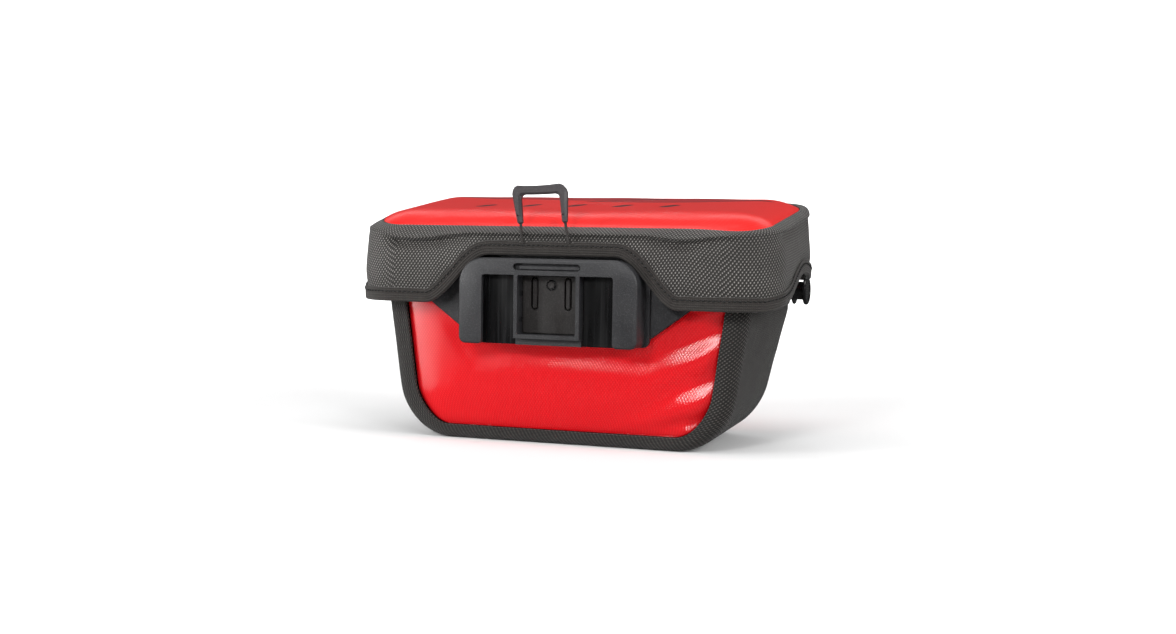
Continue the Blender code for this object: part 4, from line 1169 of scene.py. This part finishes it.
def adapter_frame(material):
    """The raised frame with its recesses, window, notches, sill and slot."""
    frame_piece = extruded("adapter_frame", frame_outline(0.0), FRAME_BACK, FRAME_FACE, material)
    slope_rim(frame_piece)
    lip = extruded("lip", frame_outline(FLANGE_WIDTH), FRAME_BACK, FRAME_BACK - FLANGE_THICK)
    combine(frame_piece, [lip], "UNION")
    past = FRAME_FACE - CUT_PAST
    below = FRAME_FOOT_Z - CUT_PAST
    window_half = WINDOW_HALF - FRAME_WALL
    cutters = [
        extruded("window", rounded_box(-window_half, window_half, SILL_Z + FRAME_WALL, RECESS_TOP_Z, 0.8 * MM),
                 WINDOW_FLOOR, past),
        extruded("sill", rectangle(-WINDOW_HALF, WINDOW_HALF, below, SILL_Z), FRAME_FACE + SILL_STEP, past),
        extruded("slot", slot_outline(0.0, BAR_Z, 2 * BAR_SLOT_HALF, BAR_SLOT_WIDTH, False),
                 FRAME_FACE + BAR_SLOT_DEPTH, past),
    ]
    for side in (-1, 1):
        outline = [(side * x, z) for x, z in recess_outline(below)]
        cutters.append(extruded(f"recess_{side}", outline, RECESS_FLOOR, past))
        inner, outer = sorted((side * (LEG_INNER_HALF - MM), side * (LEG_INNER_HALF + UNDERCUT)))
        cutters.append(extruded(f"undercut_{side}", rectangle(inner, outer, below, RECESS_TOP_Z),
                                RECESS_FLOOR, FRAME_FACE + LIP_THICK))
    for height in NOTCH_HEIGHTS:
        notch = rectangle(-window_half - 0.9 * MM, -window_half + 1.0 * MM, height - 1.3 * MM, height + 1.3 * MM)
        cutters.append(extruded("notch", notch, WINDOW_FLOOR - 1.5 * MM, past + CUT_PAST + 3.6 * MM))
    combine(frame_piece, cutters)
    chamfer_edges(frame_piece, FRAME_CHAMFER_EDGE, True)
    return frame_piece


def lathe(name, profile, place, axis, material, sides=48):
    """A turned piece from radius and height pairs, its axis along a direction."""
    bm = bmesh.new()
    rings = []
    for radius, height in profile:
        rings.append([bm.verts.new((radius * math.cos(2 * math.pi * step / sides),
                                    radius * math.sin(2 * math.pi * step / sides), height))
                      for step in range(sides)])
    for lower, upper in zip(rings, rings[1:]):
        for step in range(sides):
            after = (step + 1) % sides
            bm.faces.new((lower[step], lower[after], upper[after], upper[step]))
    bm.faces.new(rings[0])
    bm.faces.new(rings[-1])
    bmesh.ops.recalc_face_normals(bm, faces=bm.faces)
    turn = axis.to_track_quat("Z", "Y").to_matrix().to_4x4()
    bmesh.ops.transform(bm, matrix=Matrix.Translation(place) @ turn, verts=bm.verts)
    return finish_mesh(name, bm, material, 30)


def tube(name, points, radius, material):
    """A round cord along points, capped, with a map in metres round and along it."""
    sides = 10
    bm = bmesh.new()
    uv_layer = bm.loops.layers.uv.new("cloth")
    rings = []
    for index, point in enumerate(points):
        after = points[min(index + 1, len(points) - 1)]
        before = points[max(index - 1, 0)]
        turn = (after - before).normalized().to_track_quat("Z", "Y")
        ring = [bm.verts.new(point + turn @ Vector((radius * math.cos(2 * math.pi * step / sides),
                                                   radius * math.sin(2 * math.pi * step / sides), 0.0)))
                for step in range(sides)]
        rings.append(ring)
    travelled = [0.0]
    for first, second in zip(points, points[1:]):
        travelled.append(travelled[-1] + (second - first).length)
    for level, (lower, upper) in enumerate(zip(rings, rings[1:])):
        for step in range(sides):
            after = (step + 1) % sides
            face = bm.faces.new((lower[step], lower[after], upper[after], upper[step]))
            girth = 2 * math.pi * radius / sides
            places = ((step, level), (step + 1, level), (step + 1, level + 1), (step, level + 1))
            for loop, (around, down) in zip(face.loops, places):
                loop[uv_layer].uv = (around * girth, travelled[down])
    bm.faces.new(rings[0])
    bm.faces.new(rings[-1])
    bmesh.ops.recalc_face_normals(bm, faces=bm.faces)
    return finish_mesh(name, bm, material, 60)


def make_stage_surface(tint):
    """A pale sheet of paper: a floor that turns up into a backdrop far behind."""
    bm = bmesh.new()
    profile = [(SWEEP_FRONT, 0.0), (SWEEP_TURN_Y, 0.0)]
    profile += [(SWEEP_TURN_Y + SWEEP_RADIUS * math.sin(math.radians(90 * share)),
                 SWEEP_RADIUS * (1 - math.cos(math.radians(90 * share)))) for share in steps(12)[1:]]
    profile += [(SWEEP_TURN_Y + SWEEP_RADIUS, SWEEP_TOP)]
    rows = [[bm.verts.new((side * SWEEP_HALF, y, z)) for side in (-1, 1)] for y, z in profile]
    for near, far in zip(rows, rows[1:]):
        bm.faces.new((near[0], near[1], far[1], far[0]))
    mesh = bpy.data.meshes.new("studio_sweep")
    bm.to_mesh(mesh)
    bm.free()
    sweep = add_object("studio_sweep", mesh)
    made, tree, shader = start_material("matte white paper", roughness=0.9, specular_ior_level=0.0)
    grain = add_node(tree, "ShaderNodeMapRange", (mottle(tree, 4.0), 0.3, 0.7), **EASED)
    finish_surface(tree, shader, grain, toned(tint), toned(tint, 0.985))
    mesh.materials.append(made)
    mesh.shade_smooth()
    sweep.visible_glossy = False


def softbox(name, place, target, width, height, power):
    """A soft rectangular light turned to the bag."""
    lamp = bpy.data.lights.new(name, "AREA")
    lamp.shape = "RECTANGLE"
    lamp.size = width
    lamp.size_y = height
    lamp.energy = power
    made = add_object(name, lamp)
    made.location = place
    made.rotation_euler = (Vector(target) - Vector(place)).to_track_quat("-Z", "Y").to_euler()


def make_camera():
    data = bpy.data.cameras.new("photo camera")
    data.sensor_width = 36.0
    data.lens = CAMERA_LENS
    made = add_object("photo camera", data)
    back = CAMERA_BACK.normalized()
    right = Vector((0.0, 0.0, 1.0)).cross(back).normalized()
    up = back.cross(right)
    turned_right = right * math.cos(CAMERA_ROLL) + up * math.sin(CAMERA_ROLL)
    turned_up = -right * math.sin(CAMERA_ROLL) + up * math.cos(CAMERA_ROLL)
    axes = Matrix((turned_right, turned_up, back)).transposed().to_4x4()
    made.matrix_world = Matrix.Translation(CAMERA_PLACE) @ axes
    bpy.context.scene.camera = made


def get(name):
    """A finish that the operators share, made once."""
    if name in bpy.data.materials:
        return bpy.data.materials[name]
    colours = bpy.context.scene.bag_colours
    sizes = bpy.context.scene.bag_sizes
    makers = {
        "woven nylon": lambda: woven_nylon(name, colours.cloth, colours.thread, sizes),
        # The grey woven nylon made darker: painted shade on the gusset's sides, bottom and borders.
        "woven nylon with painted shade": lambda: woven_nylon(name, colours.gusset, colours.gusset_thread, sizes, 0.8, 0.8),
        "red coated polyester": lambda: coated_cloth(name, colours.red, sizes),
        "red lid sheet": lambda: lid_sheet(name, colours, sizes),
        "woven hem tape": lambda: ribbed_tape(name, colours.tape),
        "grained nylon": lambda: grained_plastic(name, colours.plastic),
        "smooth nylon": lambda: grained_plastic(name, colours.latch, 0.1),
        "rubbed nylon": lambda: rubbed_plastic(name, colours.gloss),
        "polished acetal": lambda: gloss_plastic(name, colours.gloss),
        "grip nylon": lambda: grained_plastic(name, colours.grip, 0.2),
        "braided cord": lambda: braided_cord(name, colours.tape),
        "bonded sewing thread": lambda: braided_cord(name, colours.stitch),
    }
    return makers[name]()


class BAG_OT_stage(bpy.types.Operator):
    """Makes the pale sweep, the soft lights and the camera"""

    bl_idname = "bag.stage"
    bl_label = "Stage"

    def execute(self, context):
        make_camera()
        make_stage_surface(SWEEP_GREY)
        for light in LIGHTS:
            softbox(*light)
        world = bpy.data.worlds.new("dim room")
        world.use_nodes = True
        set_inputs(world.node_tree, world.node_tree.nodes["Background"],
                   {"Color": (1.0, 1.0, 1.0, 1.0), "Strength": ROOM_STRENGTH})
        context.scene.world = world
        context.scene.view_settings.view_transform = "Standard"
        return {"FINISHED"}


class BAG_OT_body(bpy.types.Operator):
    """Makes the grey gusset that forms the bag's sides, bottom and borders"""

    bl_idname = "bag.body"
    bl_label = "Gusset"

    def execute(self, context):
        dent = context.scene.bag_sizes.dent
        # The gusset's cloth is darkened as painted shade.
        piece = cloth_sheet("gusset_cloth", gusset_rows(dent), get("woven nylon with painted shade"))
        add_thickness(piece, CLOTH)
        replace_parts(piece, "body_gusset")
        return {"FINISHED"}


class BAG_OT_panels(bpy.types.Operator):
    """Makes the two red ends"""

    bl_idname = "bag.panels"
    bl_label = "Red ends"

    def execute(self, context):
        pucker = context.scene.bag_sizes.pucker
        ends = (
            ("rear_cloth", "rear_panel", REAR_LEAN, REAR_RADIUS, REAR_Y, -1),
            ("front_cloth", "front_panel", FRONT_LEAN, FRONT_RADIUS, FRONT_Y, 1),
        )
        for name, node, lean, radius, plane_y, outward in ends:
            rows = panel_rows(lean, radius, plane_y, outward, pucker)
            piece = cloth_sheet(name, rows, get("red coated polyester"))
            add_thickness(piece, CLOTH - PANEL_RECESS)
            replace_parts(piece, node)
        return {"FINISHED"}


class BAG_OT_lid_cloth(bpy.types.Operator):
    """Makes the grey rim and the skirt that hangs over the body"""

    bl_idname = "bag.lid_cloth"
    bl_label = "Lid cloth"

    def execute(self, context):
        ring = lid_ring(CLOTH_STEP)
        rows = lid_cloth_rows(ring, hem_frames(ring), context.scene.bag_sizes.dent)
        piece = cloth_sheet("skirt_cloth", rows, get("woven nylon"), closed=True)
        add_thickness(piece, LID_CLOTH)
        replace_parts(piece, "lid_shell")
        return {"FINISHED"}


class BAG_OT_lid_top(bpy.types.Operator):
    """Makes the crowned red top of the lid"""

    bl_idname = "bag.lid_top"
    bl_label = "Lid top"

    def execute(self, context):
        rows = lid_top_rows(lid_ring(2 * CLOTH_STEP))
        piece = cloth_sheet("lid_top", rows, get("red lid sheet"), closed=True)
        bm = bmesh.new()
        bm.from_mesh(piece.data)
        rims = [edge for edge in bm.edges if edge.is_boundary and edge.verts[0].co.length_squared < 0.03]
        inner = [edge for edge in rims if inward_distance(edge.verts[0].co.x, edge.verts[0].co.y)[0] > CROWN_RUN]
        bmesh.ops.holes_fill(bm, edges=inner)
        bm.to_mesh(piece.data)
        bm.free()
        add_thickness(piece, LID_BOARD)
        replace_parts(piece, "lid_panel")
        return {"FINISHED"}


class BAG_OT_hem(bpy.types.Operator):
    """Makes the hem tape and its row of stitches"""

    bl_idname = "bag.hem"
    bl_label = "Hem tape and stitches"

    def execute(self, context):
        sizes = context.scene.bag_sizes
        frames = hem_frames(lid_ring(CLOTH_STEP))
        piece = tape_piece(frames, get("woven hem tape"), sizes.dent)
        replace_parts(piece, "lid_binding")
        reach = TAPE_GAP + TAPE_WALL - STITCH_GROOVE + STITCH_STAND
        line = [foot + out * reach + up * (TAPE_HEIGHT - STITCH_DROP) for foot, out, up in frames]
        values = {"Pitch": sizes.stitch_pitch, "Half Length": sizes.stitch_half, "Half Width": sizes.thread_half}
        grow("hem_stitches", line_mesh("hem line", line, True), row_of_stitches(get("bonded sewing thread")),
             values)
        return {"FINISHED"}


class BAG_OT_adapter(bpy.types.Operator):
    """Makes the adapter's plate, frame and guide pads"""

    bl_idname = "bag.adapter"
    bl_label = "Adapter"

    def execute(self, context):
        grained = get("grained nylon")
        right = [(FRAME_HALF - FRAME_CHAMFER, PLATE_LOW.z), (PLATE_FOOT_HALF, PLATE_FOOT_Z),
                 (PLATE_HIGH.x, PLATE_SIDE_Z),
                 (PLATE_HIGH.x, PLATE_HIGH.z - FRAME_SHOULDER / 2), (PLATE_HIGH.x - FRAME_SHOULDER, PLATE_HIGH.z)]
        outline = right + [(-x, z) for x, z in reversed(right)]
        plate = extruded("adapter_plate", outline, PLATE_HIGH.y, PLATE_LOW.y, grained)
        round_edges(plate, 0.8 * MM)
        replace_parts(plate, "mount_plate")
        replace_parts(adapter_frame(grained), "mount_frame")
        for side, node in ((-1, "guide_pad_left"), (1, "guide_pad_right")):
            low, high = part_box(node)
            near, far = sorted((side * (WINDOW_HALF + 0.1 * MM), side * (LEG_INNER_HALF + UNDERCUT - 0.1 * MM)))
            pad = extruded(f"rubbed_{node}", rectangle(near, far, low.z, high.z), high.y, low.y,
                           get("rubbed nylon"))
            round_edges(pad, 0.3 * MM)
            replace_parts(pad, node)
        return {"FINISHED"}


class BAG_OT_latch(bpy.types.Operator):
    """Makes the latch plate with its slots, tongues and button, and the bar in the top slot"""

    bl_idname = "bag.latch"
    bl_label = "Latch"

    def execute(self, context):
        grained = get("grained nylon")
        smooth_nylon = get("smooth nylon")
        window_half = WINDOW_HALF - FRAME_WALL - 0.1 * MM
        plate = extruded("latch_plate", rounded_box(-window_half, window_half, SILL_Z + FRAME_WALL + 0.5 * MM,
                                                    RECESS_TOP_Z - 0.6 * MM, 0.5 * MM),
                         WINDOW_FLOOR - 0.1 * MM, LATCH_FACE, smooth_nylon)
        slot_z = (LATCH_SLOT_LOW + LATCH_SLOT_HIGH) / 2
        slot_length = LATCH_SLOT_HIGH - LATCH_SLOT_LOW
        cutters = []
        for side, place in ((-1, "left"), (1, "right")):
            x = side * LATCH_SLOT_X
            cutters.append(extruded("latch_slot", slot_outline(x, slot_z, slot_length, LATCH_SLOT_WIDTH, True),
                                    LATCH_FACE + 2.2 * MM, LATCH_FACE - CUT_PAST))
            outline = slot_outline(x + 0.2 * MM, slot_z, slot_length - 1.2 * MM, 2.8 * MM, True)
            tongue = extruded(f"tongue_{place}", outline, LATCH_FACE + 2.1 * MM, LATCH_FACE - 0.6 * MM,
                              smooth_nylon)
            chamfer_edges(tongue, 0.5 * MM)
            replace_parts(tongue, f"lock_tongue_{place}")
        combine(plate, cutters)
        chamfer_edges(plate, 0.3 * MM, True)
        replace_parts(plate, "lock_plate")
        middle_z = (RING_LOW.z + RING_HIGH.z) / 2
        radius = RING_HIGH.x
        profile = [(0.02 * MM, 0.0), (radius * 0.66, 0.0), (radius * 0.66, 0.6 * MM), (radius * 0.58, 0.85 * MM),
                   (0.3 * MM, 0.85 * MM), (0.02 * MM, 0.8 * MM)]
        button = lathe("latch_button", profile, (0.0, LATCH_FACE + 0.2 * MM, middle_z), Vector((0.0, -1.0, 0.0)),
                       smooth_nylon, 32)
        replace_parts(button, "lock_ring")
        sizes = context.scene.bag_sizes
        tooth = (0.55 * MM, 0.9 * MM, 0.9 * MM)
        seed = line_mesh("button guide", [(0.0, 0.0, 0.0), (0.0, 0.0, MM)], False)
        grow("button_teeth", seed, ring_of_teeth(get("polished acetal")),
             {"Teeth": sizes.button_teeth, "Radius": radius * 0.84, "Tooth": tooth},
             (0.0, LATCH_FACE - 0.3 * MM, middle_z))
        bar_start = -BAR_SLOT_HALF + 3.1 * MM
        bar_end = BAR_SLOT_HALF - 0.1 * MM
        bar = extruded("slot_bar", slot_outline((bar_start + bar_end) / 2, BAR_Z - 0.4 * MM, bar_end - bar_start,
                                                BAR_SLOT_WIDTH - 1.2 * MM, False),
                       FRAME_FACE + BAR_SLOT_DEPTH - 0.1 * MM, FRAME_FACE + 0.5 * MM, grained)
        chamfer_edges(bar, 0.6 * MM)
        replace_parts(bar, "release_bar")
        return {"FINISHED"}


class BAG_OT_pull(bpy.types.Operator):
    """Makes the pull grip, its two pin holes and its cords"""

    bl_idname = "bag.pull"
    bl_label = "Pull grip"

    def execute(self, context):
        outline = [(x * MM, z * MM) for x, z in GRIP_OUTER + GRIP_INNER]
        grip = extruded("grip_loop", outline, GRIP_HIGH.y, GRIP_LOW.y, get("grip nylon"))
        chamfer_edges(grip, 1.2 * MM)
        holes = []
        for x, z in GRIP_HOLES:
            hole = slot_outline(x * MM, z * MM, 2.02 * GRIP_HOLE, 2 * GRIP_HOLE, True)
            holes.append(extruded("pin_hole", hole, GRIP_HIGH.y + CUT_PAST, GRIP_LOW.y - CUT_PAST))
        combine(grip, holes)
        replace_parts(grip, "pull_grip")
        for name, (top, foot) in zip(("left", "right"), CORD_ENDS):
            points = []
            for share in steps(16):
                bow = CORD_BOW * math.sin(math.pi * share)
                points.append(Vector(((top[0] + share * (foot[0] - top[0])) * MM - bow, GRIP_Y,
                                      (top[1] + share * (foot[1] - top[1])) * MM)))
            cord = tube(f"cord_{name}", points, CORD_RADIUS, get("braided cord"))
            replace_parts(cord, f"pull_cord_{name}")
        return {"FINISHED"}


class BAG_OT_studs(bpy.types.Operator):
    """Makes the two strap studs"""

    bl_idname = "bag.studs"
    bl_label = "Strap studs"

    def execute(self, context):
        reach = STUD_HIGH.x - STUD_LOW.x
        head = reach - 2.2 * MM
        waist = head - 5.2 * MM
        inner = waist - 1.1 * MM
        profile = [
            (0.1 * MM, 0.0), (8.2 * MM, 0.0), (8.2 * MM, 0.9 * MM), (7.8 * MM, 1.3 * MM), (4.8 * MM, 1.4 * MM),
            (5.3 * MM, 1.8 * MM), (5.2 * MM, inner), (7.5 * MM, inner), (7.8 * MM, inner + 0.3 * MM),
            (7.8 * MM, waist - 0.3 * MM), (7.5 * MM, waist), (5.6 * MM, waist), (5.2 * MM, waist + 0.4 * MM),
            (5.2 * MM, head - 0.4 * MM), (5.6 * MM, head), (7.3 * MM, head), (7.85 * MM, head + 0.35 * MM),
            (8.0 * MM, head + 0.9 * MM), (8.0 * MM, reach - 0.9 * MM), (7.8 * MM, reach - 0.35 * MM),
            (7.2 * MM, reach), (5.6 * MM, reach), (5.2 * MM, reach - 0.4 * MM), (1.2 * MM, reach - 0.4 * MM),
            (0.1 * MM, reach - 0.4 * MM),
        ]
        for side, name in ((-1, "left"), (1, "right")):
            place = (side * STUD_LOW.x, STUD_Y, STUD_Z + STUD_LIFT)
            stud = lathe(f"stud_{name}", profile, place, Vector((side, 0.0, 0.0)),
                         get("polished acetal"))
            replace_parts(stud, f"strap_stud_{name}")
        return {"FINISHED"}


class BAG_PT_sidebar(bpy.types.Panel):
    """Lists the operators in the order in which they run"""

    bl_idname = "BAG_PT_sidebar"
    bl_label = "Handlebar Bag"
    bl_space_type = "VIEW_3D"
    bl_region_type = "UI"
    bl_category = "Handlebar Bag"

    def draw(self, context):
        for operator in OPERATORS:
            self.layout.operator(operator.bl_idname)


OPERATORS = (
    BAG_OT_stage,
    BAG_OT_body,
    BAG_OT_panels,
    BAG_OT_lid_cloth,
    BAG_OT_lid_top,
    BAG_OT_hem,
    BAG_OT_adapter,
    BAG_OT_latch,
    BAG_OT_pull,
    BAG_OT_studs,
)
CLASSES = (BagSizes, BagColours, *OPERATORS, BAG_PT_sidebar)


def register():
    for kind in CLASSES:
        bpy.utils.register_class(kind)
    bpy.types.Scene.bag_sizes = PointerProperty(type=BagSizes)
    bpy.types.Scene.bag_colours = PointerProperty(type=BagColours)


def unregister():
    del bpy.types.Scene.bag_colours
    del bpy.types.Scene.bag_sizes
    for kind in reversed(CLASSES):
        bpy.utils.unregister_class(kind)


def main():
    register()
    bpy.ops.bag.stage()
    bpy.ops.bag.body()
    bpy.ops.bag.panels()
    bpy.ops.bag.lid_cloth()
    bpy.ops.bag.lid_top()
    bpy.ops.bag.hem()
    bpy.ops.bag.adapter()
    bpy.ops.bag.latch()
    bpy.ops.bag.pull()
    bpy.ops.bag.studs()


if __name__ == "__main__":
    main()
